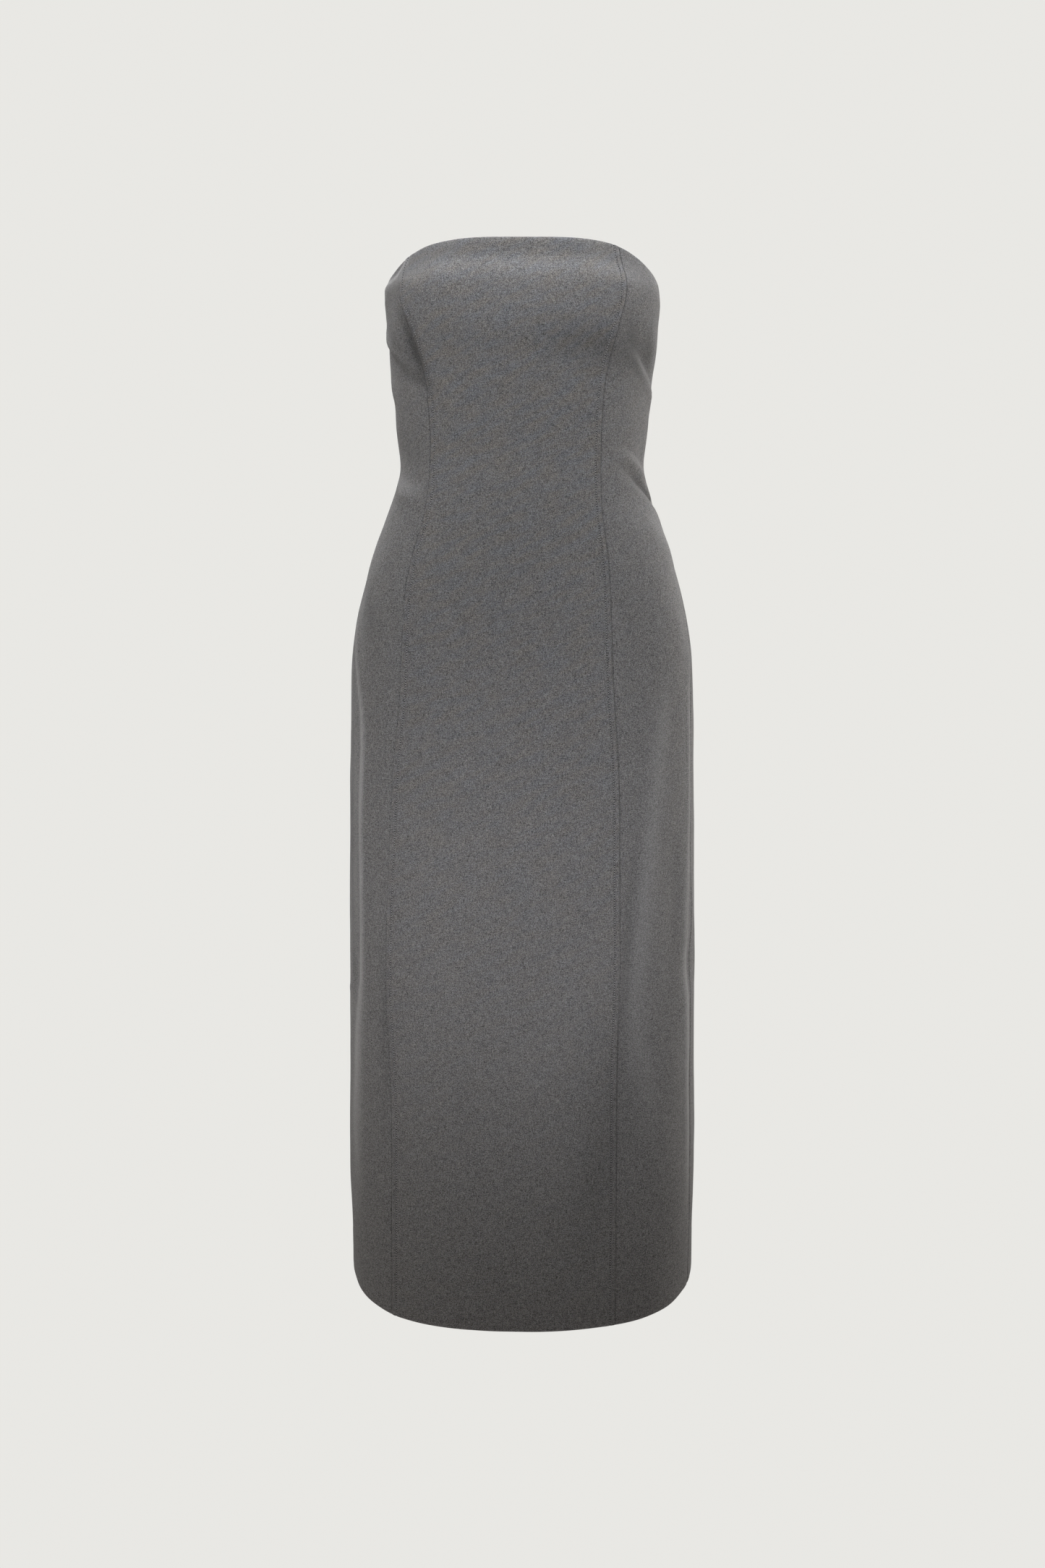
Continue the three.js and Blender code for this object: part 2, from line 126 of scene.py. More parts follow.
# Spacing of a panel's points, and the steps by which slopes are measured
COLUMN_STEP = 0.0038
ROW_STEP = 0.0033
ROWED_LENGTH = 1.03
TRIAL_COLUMNS = 161
GROOVE_STEPS = (0, 0.0001, 0.00025, 0.00045, 0.0007, 0.001, 0.0013, 0.002)
STITCH_STEPS = (0.0034, 0.0046, 0.0052, 0.0057, 0.0062, 0.0068, 0.008)
FINE_STEPS = (*GROOVE_STEPS, *STITCH_STEPS, 0.0105, 0.012, 0.0132)
PLAIN_STEPS = (*GROOVE_STEPS, 0.0035, 0.006, 0.009, 0.0115, 0.0127)
EDGE_STEPS = (0, 0.0002, 0.0004, 0.0007, 0.001, 0.0016, 0.0026, 0.0042, 0.0065)
TURN_STEP = 0.25
RISE_STEP = 0.001
SETTLING_PASSES = 8

# Camera. The frame's height, the focal length and the row that it is aimed at are in pixels.
CAMERA_PLACE = (0, -1.8, -0.179)
CAMERA_PITCH = 5
FRAME_HEIGHT = 2168
FOCAL_PIXELS = 2417
AIM_ROW = 879
SENSOR = 36

# Colours of light
WHITE = (1, 1, 1)
COOL = (0.985, 1, 1.015)
LILAC = (1.01, 0.985, 1.01)
WARM = (1, 0.95, 0.88)


def spline(places, values):
    """A cubic spline through values at rising places, level at both ends."""
    step = np.diff(places)
    slope = np.diff(values) / step
    before = np.append(0, step)
    after = np.append(step, 0)
    system = np.diag(2 * (before + after)) + np.diag(step, 1) + np.diag(step, -1)
    bend = np.linalg.solve(system, 6 * np.diff(np.concatenate([[0], slope, [0]])))

    def at(place):
        p = np.clip(place, places[0], places[-1])
        i = np.clip(np.searchsorted(places, p) - 1, 0, len(places) - 2)
        a = (places[i + 1] - p) / step[i]
        b = 1 - a
        bends = (a**3 - a) * bend[i] + (b**3 - b) * bend[i + 1]
        return a * values[i] + b * values[i + 1] + bends * step[i] ** 2 / 6

    return at


def splines(columns, rows):
    """Curves through a table's rows by column name. The first column is the place."""
    ordered = np.array(sorted(rows), float)
    return {name: spline(ordered[:, 0], ordered[:, k + 1]) for k, name in enumerate(columns[1:])}


# Rings round the dress. A corner of 2 is an ellipse, and a larger one is squarer.
RINGS = splines(("height", "half_width", "front", "back", "front_corner", "back_corner"), (
    (0.075, 0.1326, 0.083, 0.094, 2.45, 2.3),
    (0.06, 0.1347, 0.089, 0.094, 2.45, 2.3),
    (0.04, 0.137, 0.098, 0.094, 2.45, 2.3),
    (0.015, 0.1386, 0.1088, 0.0935, 2.42, 2.3),
    (-0.008, 0.1379, 0.116, 0.093, 2.4, 2.3),
    (-0.035, 0.136, 0.119, 0.092, 2.38, 2.3),
    (-0.07, 0.1326, 0.114, 0.089, 2.35, 2.3),
    (-0.11, 0.1289, 0.103, 0.083, 2.3, 2.3),
    (-0.145, 0.1248, 0.0935, 0.078, 2.28, 2.25),
    (-0.163, 0.1236, 0.091, 0.077, 2.28, 2.25),
    (-0.18, 0.127, 0.092, 0.08, 2.28, 2.25),
    (-0.218, 0.1396, 0.097, 0.092, 2.3, 2.25),
    (-0.26, 0.1542, 0.104, 0.106, 2.35, 2.25),
    (-0.307, 0.1661, 0.109, 0.118, 2.4, 2.25),
    (-0.352, 0.1734, 0.1125, 0.125, 2.45, 2.25),
    (-0.4, 0.1756, 0.115, 0.127, 2.5, 2.28),
    (-0.5, 0.1769, 0.119, 0.126, 2.55, 2.3),
    (-0.7, 0.1786, 0.125, 0.123, 2.6, 2.32),
    (-0.89, 0.1797, 0.131, 0.121, 2.6, 2.35),
    (-1.03, 0.1778, 0.1355, 0.121, 2.6, 2.35),
))

# The top edge dips from the bust to the back, and the hem hangs lowest in front.
EDGES = splines(("angle", "top", "hem"), (
    (0, 0.0574, -1.0172),
    (28, 0.0557, -1.015),
    (43, 0.0475, -1.0127),
    (53, 0.0368, -1.0092),
    (63, 0.0255, -1.0043),
    (79, 0.009, -0.9968),
    (95, -0.003, -0.994),
    (125, -0.018, -0.995),
    (155, -0.028, -0.998),
    (180, -0.03, -0.999),
))

# Princess seams by their distance from the middle, side seams by their angle
SEAMS = splines(("height", "princess_right", "princess_left", "side_right", "side_left"), (
    (0.06, -0.1095, 0.0925, -94, 87),
    (0.017, -0.12, 0.1003, -94, 87),
    (-0.02, -0.1142, 0.0955, -94, 87),
    (-0.06, -0.1006, 0.0842, -93, 87),
    (-0.095, -0.0934, 0.079, -93, 86.5),
    (-0.163, -0.0912, 0.0768, -92, 86),
    (-0.205, -0.096, 0.0782, -91.5, 85),
    (-0.255, -0.1098, 0.0842, -90, 82.5),
    (-0.3, -0.1164, 0.0869, -88, 79),
    (-0.345, -0.1185, 0.088, -86.5, 73.8),
    (-0.392, -0.121, 0.0898, -85, 69.8),
    (-0.43, -0.125, 0.0927, -84, 68.3),
    (-0.56, -0.1326, 0.0957, -83, 67.5),
    (-0.69, -0.1358, 0.0961, -83, 66.5),
    (-0.77, -0.1319, 0.0943, -83, 65.8),
    (-0.86, -0.1306, 0.0934, -83, 65.5),
    (-1.03, -0.1315, 0.0925, -83, 65.5),
))

# How quickly a straight fold dies away towards its ends
FOLD_ENDS = 1.5

# The largest folds: a straight ridge from one place to another, or a trough where its lift is less
# than 0. Columns: from_angle, from_height, to_angle, to_height, reach, lift
FOLDS = (
    (-71, -0.038, -44, -0.086, 0.011, -0.002),
    (-96, -0.052, -62, -0.112, 0.013, 0.0016),
    (56, -0.054, 86, -0.108, 0.011, 0.002),
    (47, -0.04, 78, -0.096, 0.012, -0.0018),
    (54, -0.154, 72, -0.196, 0.011, -0.0022),
    (-74, -0.172, -50, -0.206, 0.013, 0.0016),
    (43, -0.43, 36, -0.73, 0.02, 0.003),
    (22, -0.64, 24, -0.85, 0.024, -0.0024),
    (-60, -0.4, -57, -0.69, 0.013, 0.0018),
    (-66, -0.645, -64, -0.715, 0.017, -0.0026),
    (63, -0.63, 64, -0.7, 0.017, -0.0026),
    (-24, -0.7, -30, -0.94, 0.026, 0.002),
    (104, -0.06, 140, -0.118, 0.014, -0.002),
    (-106, -0.056, -142, -0.122, 0.014, -0.002),
    (118, -0.182, 166, -0.176, 0.014, -0.0024),
    (-114, -0.186, -166, -0.174, 0.014, -0.0022),
    (126, -0.214, 160, -0.204, 0.013, 0.0018),
    (136, -0.47, 148, -0.78, 0.024, 0.003),
    (-140, -0.5, -150, -0.86, 0.026, 0.0032),
    (112, -0.56, 108, -0.9, 0.024, -0.0024),
    (-114, -0.52, -112, -0.8, 0.022, -0.0022),
)

# Finer creases at the bust, the waist and the hips, too slight for the solids. Columns as in FOLDS.
CREASES = (
    (-98, -0.02, -44, 0.034, 0.01, 0.0022),
    (-86, 0.006, -44, 0.024, 0.0028, 0.0016),
    (-59, 0.012, -46, 0.046, 0.0028, 0.0014),
    (-66, 0.018, -50, 0.036, 0.003, -0.0012),
    (-57, -0.002, -41, -0.102, 0.0065, -0.0036),
    (-100, -0.028, -34, -0.098, 0.0048, -0.0034),
    (-102, -0.014, -42, -0.074, 0.0036, 0.0026),
    (-92, -0.07, -46, -0.118, 0.009, 0.0018),
    (34, 0.034, 94, -0.022, 0.013, 0.0022),
    (42, -0.006, 74, -0.096, 0.013, -0.0036),
    (43, -0.042, 86, -0.11, 0.0052, 0.0032),
    (40, -0.143, 84, -0.178, 0.0055, 0.003),
    (44, -0.159, 108, -0.222, 0.0055, -0.0042),
    (36, -0.198, 88, -0.262, 0.016, 0.003),
    (-92, -0.14, -42, -0.15, 0.012, -0.0018),
    (-86, -0.179, -38, -0.2, 0.008, 0.0034),
    (-104, -0.246, -58, -0.338, 0.016, -0.0016),
    (-84, -0.703, -55, -0.688, 0.004, 0.0014),
    (56, -0.44, 50, -0.78, 0.016, -0.0024),
    (37, -0.48, 29, -0.82, 0.007, -0.0024),
    (20, -0.7, 30, -0.77, 0.014, -0.002),
    (-30, -0.152, -2, -0.16, 0.007, -0.0004),
    (10, -0.17, 40, -0.16, 0.007, -0.0004),
    (112, -0.142, 150, -0.152, 0.007, 0.0009),
    (-110, -0.146, -152, -0.15, 0.007, 0.0009),
    (100, -0.2, 118, -0.222, 0.006, -0.0008),
    (-100, -0.198, -120, -0.226, 0.006, -0.0008),
)

# Painted shade, darkening where folds and hollows fall in shadow. Columns as in FOLDS, but the last is a
# share.
PAINTED_SHADE = (
    (-66, 0.018, -50, 0.036, 0.0035, 0.5),
    (-57, 0.004, -40, -0.102, 0.0085, 0.8),
    (-88, 0.0, -46, -0.08, 0.014, 0.34),
    (-100, -0.025, -34, -0.093, 0.0046, 0.45),
    (-60, -0.04, 40, -0.044, 0.016, 0.14),
    (62, 0.0, 68, -0.084, 0.012, 0.4),
    (-4, -0.03, 84, -0.07, 0.022, 0.42),
    (42, 0.0, 62, -0.1, 0.01, 0.42),
    (46, -0.159, 112, -0.224, 0.005, 0.6),
    (-92, -0.14, -42, -0.15, 0.012, 0.16),
    (-100, -0.24, -46, -0.346, 0.018, 0.34),
    (-73, -0.28, -69, -0.78, 0.01, 0.62),
    (37, -0.48, 29, -0.82, 0.006, 0.3),
    (34, -0.7, 16, -0.98, 0.022, 0.26),
    (-46, -0.6, -44, -0.86, 0.006, 0.22),
    (60, -0.38, 46, -0.86, 0.013, 0.14),
)

# Painted highlights: ridges and patches made paler where light falls on them. Columns as in the painted
# shade table.
PAINTED_HIGHLIGHTS = (
    (-86, 0.006, -44, 0.024, 0.0034, 0.9),
    (-59, 0.012, -46, 0.046, 0.003, 0.6),
    (-92, -0.008, -14, 0.058, 0.013, 0.42),
    (20, 0.052, 68, 0.004, 0.014, 0.34),
    (-98, -0.03, -78, 0.03, 0.003, 0.7),
    (-102, -0.012, -42, -0.072, 0.002, 0.3),
    (43, -0.042, 86, -0.11, 0.0045, 0.5),
    (40, -0.141, 86, -0.176, 0.0045, 0.4),
    (-88, -0.172, -40, -0.192, 0.0075, 0.4),
    (30, -0.196, 92, -0.262, 0.02, 0.2),
    (40, -0.56, -12, -0.84, 0.03, 0.06),
)

# How far the worn sides stand out past the rings or fall short of them
SIDES = splines(("height", "right", "left"), (
    (0.06, 0.0008, 0),
    (0.02, -0.0008, 0),
    (-0.01, -0.0005, -0.0002),
    (-0.05, 0.0002, 0.0008),
    (-0.09, -0.0014, -0.0016),
    (-0.12, 0.0009, -0.0004),
    (-0.15, 0.0017, 0),
    (-0.18, 0.0004, -0.0004),
    (-0.21, 0.0008, 0.0012),
    (-0.26, 0.0018, 0),
    (-0.31, 0.0014, 0),
    (-0.37, 0.0006, 0.0001),
    (-0.5, 0.0014, 0.0003),
    (-0.69, 0.0009, 0.0006),
    (-0.78, 0.0006, -0.0002),
    (-0.9, 0.0013, 0.0006),
    (-1.0, 0, 0),
))
SIDES_REACH = 30

# The turned top edge stands straighter than the cloth below it: lift by the drop from the edge
TOP_BAND = splines(("drop", "lift"), (
    (0, 0),
    (0.01, -0.001),
    (0.019, -0.0014),
    (0.027, 0.0001),
    (0.036, 0.0013),
    (0.052, 0.0009),
    (0.08, 0),
))
TOP_BAND_FADE = (34, 64)

# Pressed folds of the skirt: one beside the side seam on the wearer's right, which softens downwards,
# one beside the side seam on the left, and a soft one on the left of the front
PRESSED_COLUMNS = ("height", "angle", "lift", "reach")
PRESSED_FOLDS = (
    splines(PRESSED_COLUMNS, (
        (-0.3, -80, 0, 0.003),
        (-0.33, -74, 0.0009, 0.003),
        (-0.355, -68.5, 0.0014, 0.003),
        (-0.395, -61.5, 0.0018, 0.0032),
        (-0.5, -58.3, 0.002, 0.0032),
        (-0.64, -57.8, 0.002, 0.0034),
        (-0.69, -59.5, 0.0015, 0.006),
        (-0.76, -61.5, 0.0015, 0.009),
        (-0.95, -62, 0, 0.012),
    )),
    splines(PRESSED_COLUMNS, (
        (-0.35, 67, 0, 0.004),
        (-0.41, 65.6, 0.0011, 0.0035),
        (-0.48, 65.8, 0.0013, 0.0035),
        (-0.55, 63.8, 0.0011, 0.004),
        (-0.62, 61.6, 0.001, 0.0045),
        (-0.7, 61.4, 0.0015, 0.0045),
        (-0.85, 61.6, 0.0013, 0.005),
        (-0.96, 61.6, 0, 0.006),
    )),
    splines(PRESSED_COLUMNS, (
        (-0.34, 51, 0, 0.01),
        (-0.4, 48.5, 0.0003, 0.01),
        (-0.52, 42, 0.00045, 0.01),
        (-0.62, 38, 0.00045, 0.01),
        (-0.7, 36, 0.00035, 0.011),
        (-0.78, 39, 0.0002, 0.012),
        (-0.86, 41, 0, 0.012),
    )),
)

# Gentle unevenness of the cloth all over: cycles round the dress, wave up it, phase and lift
WAVES = (
    (7, 0.31, 0.4, 0.00022),
    (11, 0.19, 2.1, 0.00016),
    (17, 0.13, 4.4, 0.00012),
    (23, 0.083, 1.3, 0.00009),
    (-9, 0.23, 5.2, 0.00018),
    (-19, 0.107, 3.3, 0.0001),
    (-31, 0.061, 0.9, 0.00006),
)


def top_height(angle):
    return EDGES["top"](np.abs(angle))


def hem_height(angle):
    return EDGES["hem"](np.abs(angle))


def ring_point(angle, height):
    """The smooth ring without its folds, as x and y."""
    s = np.sin(np.radians(angle))
    c = np.cos(np.radians(angle))
    corner = np.where(c > 0, RINGS["front_corner"](height), RINGS["back_corner"](height))
    depth = np.where(c > 0, RINGS["front"](height), RINGS["back"](height))
    reach = (np.abs(s) ** corner + np.abs(c) ** corner) ** (-1 / corner)
    return RINGS["half_width"](height) * reach * s, -depth * reach * c


def angle_across(x, height, at_back=False):
    """The angle at which a ring is x from the middle, in front or at the back."""
    corner = RINGS["back_corner" if at_back else "front_corner"](height)
    share = np.abs(x) / RINGS["half_width"](height)
    turn = np.degrees(np.arctan2(share, (1 - share**corner) ** (1 / corner)))
    return np.sign(x) * (180 - turn if at_back else turn)


def metres_per_degree(height):
    depth = (RINGS["front"](height) + RINGS["back"](height)) / 2
    return np.radians((RINGS["half_width"](height) + depth) / 2)


def bell(distance, reach):
    """1 at no distance, fading smoothly past its reach."""
    return np.exp(-((distance / reach) ** 2))


def line_lift(angle, height, rows):
    """How far straight folds lift the cloth at a place."""
    scale = metres_per_degree(height)
    lift = np.zeros(np.shape(height))
    for from_angle, from_height, to_angle, to_height, reach, rise in rows:
        along_x = (to_angle - from_angle) * scale
        along_z = to_height - from_height
        from_x = (angle - from_angle) * scale
        from_z = height - from_height
        length = np.hypot(along_x, along_z)
        share = np.clip((from_x * along_x + from_z * along_z) / length**2, 0, 1)
        aside = (from_x * along_z - from_z * along_x) / length
        lift += rise * np.sin(np.pi * share) ** FOLD_ENDS * bell(aside, reach)
    return lift


def pressed_lift(angle, height):
    """How far the pressed folds lift the cloth at a place."""
    lift = 0
    for fold in PRESSED_FOLDS:
        aside = (angle - fold["angle"](height)) * metres_per_degree(height)
        lift = lift + fold["lift"](height) * bell(aside, fold["reach"](height))
    return lift


def cloth_lift(angle, height):
    """How far everything but the sewing lifts the cloth off its ring."""
    lift = line_lift(angle, height, FOLDS) + line_lift(angle, height, CREASES)
    lift += pressed_lift(angle, height)
    shown = 1 - soft_step(np.abs(angle), *TOP_BAND_FADE)
    lift += TOP_BAND["lift"](top_height(angle) - height) * shown
    lift += SIDES["right"](height) * bell(angle + 90, SIDES_REACH)
    lift += SIDES["left"](height) * bell(angle - 90, SIDES_REACH)
    for cycles, wave, phase, rise in WAVES:
        lift += rise * np.sin(np.radians(cycles * angle) + 2 * np.pi * height / wave + phase)
    return lift


def cloth_point(angle, height):
    """The cloth's outer face as an array of points."""
    x, y = ring_point(angle, height)
    xa, ya = ring_point(angle - TURN_STEP, height)
    xb, yb = ring_point(angle + TURN_STEP, height)
    run = np.hypot(xb - xa, yb - ya)
    lift = cloth_lift(angle, height)
    return np.stack([x + lift * (yb - ya) / run, y - lift * (xb - xa) / run, height + 0 * x], -1)


def unit(vectors):
    return vectors / np.linalg.norm(vectors, axis=-1, keepdims=True)


def cloth_normal(angle, height):
    turn = cloth_point(angle + TURN_STEP, height) - cloth_point(angle - TURN_STEP, height)
    rise = cloth_point(angle, height + RISE_STEP) - cloth_point(angle, height - RISE_STEP)
    return unit(np.cross(turn, rise))


# Lines up the dress, each by its angle at a height
GUIDES = {
    "back_right": lambda height: 0 * height - 180,
    "dart_right": lambda height: angle_across(-DART_OFFSET, height, True),
    "side_right": SEAMS["side_right"],
    "princess_right": lambda height: angle_across(SEAMS["princess_right"](height), height),
    "princess_left": lambda height: angle_across(SEAMS["princess_left"](height), height),
    "side_left": SEAMS["side_left"],
    "dart_left": lambda height: angle_across(DART_OFFSET, height, True),
    "back_left": lambda height: 0 * height + 180,
}


def rolled(distance, roll):
    """How deep a rounded edge lies at a distance from its end, as a share of its full depth."""
    return 1 - np.sqrt(1 - np.clip(1 - distance / roll, 0, 1) ** 2)


def soft_step(value, low, high):
    share = np.clip((value - low) / (high - low), 0, 1)
    return share * share * (3 - 2 * share)


def within(distance, end, soft):
    """1 up to a distance, with a soft end."""
    return 1 - soft_step(distance, end, end + soft)


def band(distance, start, end, soft):
    """1 between two distances, with soft ends."""
    return soft_step(distance, start, start + soft) * within(distance, end, soft)


def shelf(distance, rising, risen, falling, fallen):
    """1 over a stretch of cloth that rises and falls softly."""
    return (1 - soft_step(distance, falling, fallen)) * soft_step(distance, rising, risen)


def row_heights(angle, rows):
    """Heights of the rows of points at an angle: fine steps at both edges and even ones between."""
    fine = len(EDGE_STEPS)
    steps = np.array(EDGE_STEPS)
    row = np.arange(rows)
    low = hem_height(angle) + steps[np.clip(row, 0, fine - 1)][:, None]
    high = top_height(angle) - steps[np.clip(rows - 1 - row, 0, fine - 1)][:, None]
    share = np.clip((row - fine + 1) / (rows - 2 * fine + 1), 0, 1)[:, None]
    return low + (high - low) * share


def settle(guide_a, guide_b, share, rows):
    """Angles and heights where columns between two guides meet the rows."""
    angle = np.zeros((rows, share.shape[-1]))
    height = row_heights(angle, rows)
    for _ in range(SETTLING_PASSES):
        angle = guide_a(height) * (1 - share) + guide_b(height) * share
        height = row_heights(angle, rows)
    return angle, height


def segment(guide_a, guide_b, steps_a, steps_b, rows):
    """The part of a panel between two guides: angles, heights and distances across it."""
    even = np.linspace(0, 1, TRIAL_COLUMNS)[None, :]
    angle, height = settle(guide_a, guide_b, even, rows)
    points = cloth_point(angle, height)
    hops = np.linalg.norm(np.diff(points, axis=1), axis=-1)
    across = np.concatenate([np.zeros((rows, 1)), np.cumsum(hops, axis=1)], axis=1)
    total = across[:, -1:]
    a = np.array(steps_a)[None, :]
    b = np.array(steps_b)[None, ::-1]
    room = total - a[:, -1:] - b[:, :1]
    count = int(np.median(room) / COLUMN_STEP)
    middle = a[:, -1:] + room * np.linspace(0, 1, count + 2)[None, 1:-1]
    distance = np.concatenate([a + 0 * total, middle, total - b], axis=1)
    share = np.stack([np.interp(d, s, even[0]) for d, s in zip(distance, across)])
    return *settle(guide_a, guide_b, share, rows), distance


def smooth_mesh(name, points, faces):
    mesh = bpy.data.meshes.new(name)
    mesh.from_pydata(points, [], faces)
    mesh.polygons.foreach_set("use_smooth", [True] * len(faces))
    return mesh


def wall_mesh(name, outer, inner, uv, colours):
    """A closed wall from two grids of points, whose columns run to the wearer's left and rows up."""
    rows, columns = outer.shape[:2]
    count = rows * columns
    out = np.arange(count).reshape(rows, columns)
    back = out + count
    quads = (
        (out[:-1, :-1], out[:-1, 1:], out[1:, 1:], out[1:, :-1]),
        (back[:-1, :-1], back[1:, :-1], back[1:, 1:], back[:-1, 1:]),
        (back[:-1, 0], out[:-1, 0], out[1:, 0], back[1:, 0]),
        (out[:-1, -1], back[:-1, -1], back[1:, -1], out[1:, -1]),
        (back[0, :-1], back[0, 1:], out[0, 1:], out[0, :-1]),
        (out[-1, :-1], out[-1, 1:], back[-1, 1:], back[-1, :-1]),
    )
    faces = np.concatenate([np.stack(corners, -1).reshape(-1, 4) for corners in quads])
    points = np.concatenate([outer.reshape(-1, 3), inner.reshape(-1, 3)])
    mesh = smooth_mesh(name, points.tolist(), faces.tolist())
    flat_uv = np.tile(uv.reshape(-1, 2), (2, 1))
    layer = mesh.uv_layers.new(name="cloth")
    layer.data.foreach_set("uv", flat_uv[faces.reshape(-1)].astype(np.float32).ravel())
    for key, values in colours.items():
        attribute = mesh.attributes.new(key, "FLOAT", "POINT")
        attribute.data.foreach_set("value", np.tile(values.ravel(), 2).astype(np.float32))
    mesh.update()
    return mesh


def linked(name, data):
    made = bpy.data.objects.new(name, data)
    bpy.context.scene.collection.objects.link(made)
    return made


def add_object(name, mesh, *materials):
    for material in materials:
        mesh.materials.append(material)
    return linked(name, mesh)


def seam_lift(distance, height, kind):
    """The lift and the layers behind the cloth at a distance from a seam of some kind."""
    lift = -SEAM_DEPTH * rolled(distance, SEAM_ROLL)
    behind = within(distance, ALLOWANCE, ALLOWANCE_SOFT)
    if kind == "topstitched":
        lift += WELT_LIFT * band(distance, *WELT)
        lift += TURNED_ALLOWANCE_LIFT * shelf(distance, *TURNED_ALLOWANCE)
        lift -= STITCH_SINK * bell(distance - TOPSTITCH, STITCH_SINK_REACH)
        lift += seam_pucker(distance, height)
    if kind == "pressed open":
        lift += OPEN_ALLOWANCE_LIFT * shelf(distance, *OPEN_ALLOWANCE)
    return lift, behind


def dart_lift(distance, height):
    """A dart's fine groove, which fades out at both its ends."""
    top, bottom = DART_ENDS
    top_fade, bottom_fade = DART_FADES
    fade = soft_step(top - height, 0, top_fade) * soft_step(height - bottom, 0, bottom_fade)
    return -DART_SHARE * SEAM_DEPTH * rolled(np.abs(distance), SEAM_ROLL) * fade


def seam_pucker(distance, height):
    """Slight waves along a row of topstitching."""
    long, short = (2 * np.pi * height / wave for wave in PUCKER_WAVES)
    wave = np.sin(long) + SHORT_PUCKER * np.sin(short + SHORT_PUCKER_PHASE)
    return PUCKER_LIFT * wave * bell(distance - TOPSTITCH, PUCKER_REACH)


def back_gap(height):
    """Half the gap at the centre-back seam."""
    drop = top_height(180) - height
    return BACK_GAP + SLIDER_GAP * np.clip((SLIDER_DROP - drop) / SLIDER_FADE, 0, 1)


class Panel:
    """A cut piece of cloth between guides, with its shell and the distances across it."""

    def __init__(self, name, guides, kinds):
        self.name = name
        self.lay_points(guides, kinds)
        from_end = self.width - self.across
        below_top = top_height(self.angle) - self.height
        above_hem = self.height - hem_height(self.angle)
        edge = np.minimum(below_top, above_hem)
        lift, behind = self.sewn(kinds, from_end)
        lift += TURN_LIFT * (band(above_hem, TURN_START, HEM_DEPTH, TURN_SOFT)
                             + band(below_top, TURN_START, TOP_TURN_END, TURN_SOFT))
        behind = np.maximum(behind, within(below_top, ALLOWANCE, TURNED_SOFT))
        behind = np.maximum(behind, within(above_hem, HEM_DEPTH, TURNED_SOFT))
        thick = CLOTH_THICK + (DOUBLE_THICK - CLOTH_THICK) * behind
        turned = 0.5 * thick * rolled(edge, EDGE_ROLL)
        self.angle = self.angle + self.gap_turn(kinds, from_end)
        normal = cloth_normal(self.angle, self.height)
        surface = cloth_point(self.angle, self.height)
        self.outer = surface + normal * (lift - turned)[..., None]
        self.inner = surface + normal * (turned - thick)[..., None]
        self.colours = self.colour_maps(kinds, from_end, edge)

    def lay_points(self, guides, kinds):
        """The places of the panel's points, from the segments between its guides."""
        steps = [FINE_STEPS if kind == "topstitched" else PLAIN_STEPS for kind in kinds]
        rows = int(ROWED_LENGTH / ROW_STEP) + 2 * len(EDGE_STEPS)
        parts = []
        for k in range(len(guides) - 1):
            first, last = (GUIDES[guide] for guide in guides[k : k + 2])
            parts.append(segment(first, last, steps[k], steps[k + 1], rows))
        self.angle, self.height, self.across = parts[0]
        for angle, height, across in parts[1:]:
            self.angle = np.concatenate([self.angle, angle[:, 1:]], axis=1)
            self.height = np.concatenate([self.height, height[:, 1:]], axis=1)
            self.across = np.concatenate([self.across, self.across[:, -1:] + across[:, 1:]], axis=1)
        self.width = self.across[:, -1:]
        self.darts = np.cumsum([part[2].shape[1] - 1 for part in parts])[:-1]

    def sewn(self, kinds, from_end):
        """The lift and the layers behind the cloth that its two seams and its dart bring."""
        first_lift, first_behind = seam_lift(self.across, self.height, kinds[0])
        last_lift, last_behind = seam_lift(from_end, self.height, kinds[-1])
        lift = first_lift + last_lift
        for dart in self.darts:
            lift += dart_lift(self.across - self.across[:, dart : dart + 1], self.height)
        return lift, np.maximum(first_behind, last_behind)

    def gap_turn(self, kinds, from_end):
        """The small turn that parts a panel's two edges from its neighbours."""
        ends = (kinds[0], kinds[-1])
        first, last = (back_gap(self.height) if kind == "zipped" else CLOSED_GAP for kind in ends)
        start = first * within(self.across, 0, GAP_FADE)
        end = last * within(from_end, 0, GAP_FADE)
        return (start - end) / metres_per_degree(self.height)

    def colour_maps(self, kinds, from_end, edge):
        """The form that the suiting's colour follows, as maps by name, painted highlight and shade among
        them.
        """
        # Painted highlight along the pressed folds, as though they catch the light
        pressed = pressed_lift(self.angle, self.height) / PRESSED_LIFT
        across = self.across
        dyes = SIDE_DYES
        # Painted shadow in the seam grooves, weaker low on the skirt, and beside the topstitching
        seam = bell(np.minimum(across, from_end), SEAM_SHADOW_REACH)
        above = soft_step(self.height, *SEAM_SHADOW_FADE)
        seam *= SEAM_SHADOW_BELOW + (1 - SEAM_SHADOW_BELOW) * above
        if kinds[0] == "topstitched":
            dyes = 1
            stitches = np.minimum(np.abs(across - TOPSTITCH), np.abs(from_end - TOPSTITCH))
            seam += STITCH_SHADOW * bell(stitches, STITCH_SHADOW_REACH)
        return {
            # painted highlight on the pressed folds and the listed lit ridges
            "painted_highlight": np.clip(pressed + line_lift(self.angle, self.height, PAINTED_HIGHLIGHTS), 0, 1),
            "wear": bell(edge, WEAR_REACH),
            # painted shadow in the seam grooves and beside the stitches
            "seam": seam,
            # painted shade where folds and hollows fall in shadow
            "shade": np.clip(line_lift(self.angle, self.height, PAINTED_SHADE), 0, 1),
            "dyes": np.full(across.shape, dyes),
        }

    def build(self, material):
        name = self.name + "_cloth"
        middle = self.across.shape[1] // 2
        from_middle = self.across - self.across[:, middle : middle + 1]
        uv = np.stack([from_middle, self.height], -1)
        return add_object(name, wall_mesh(name, self.outer, self.inner, uv, self.colours), material)

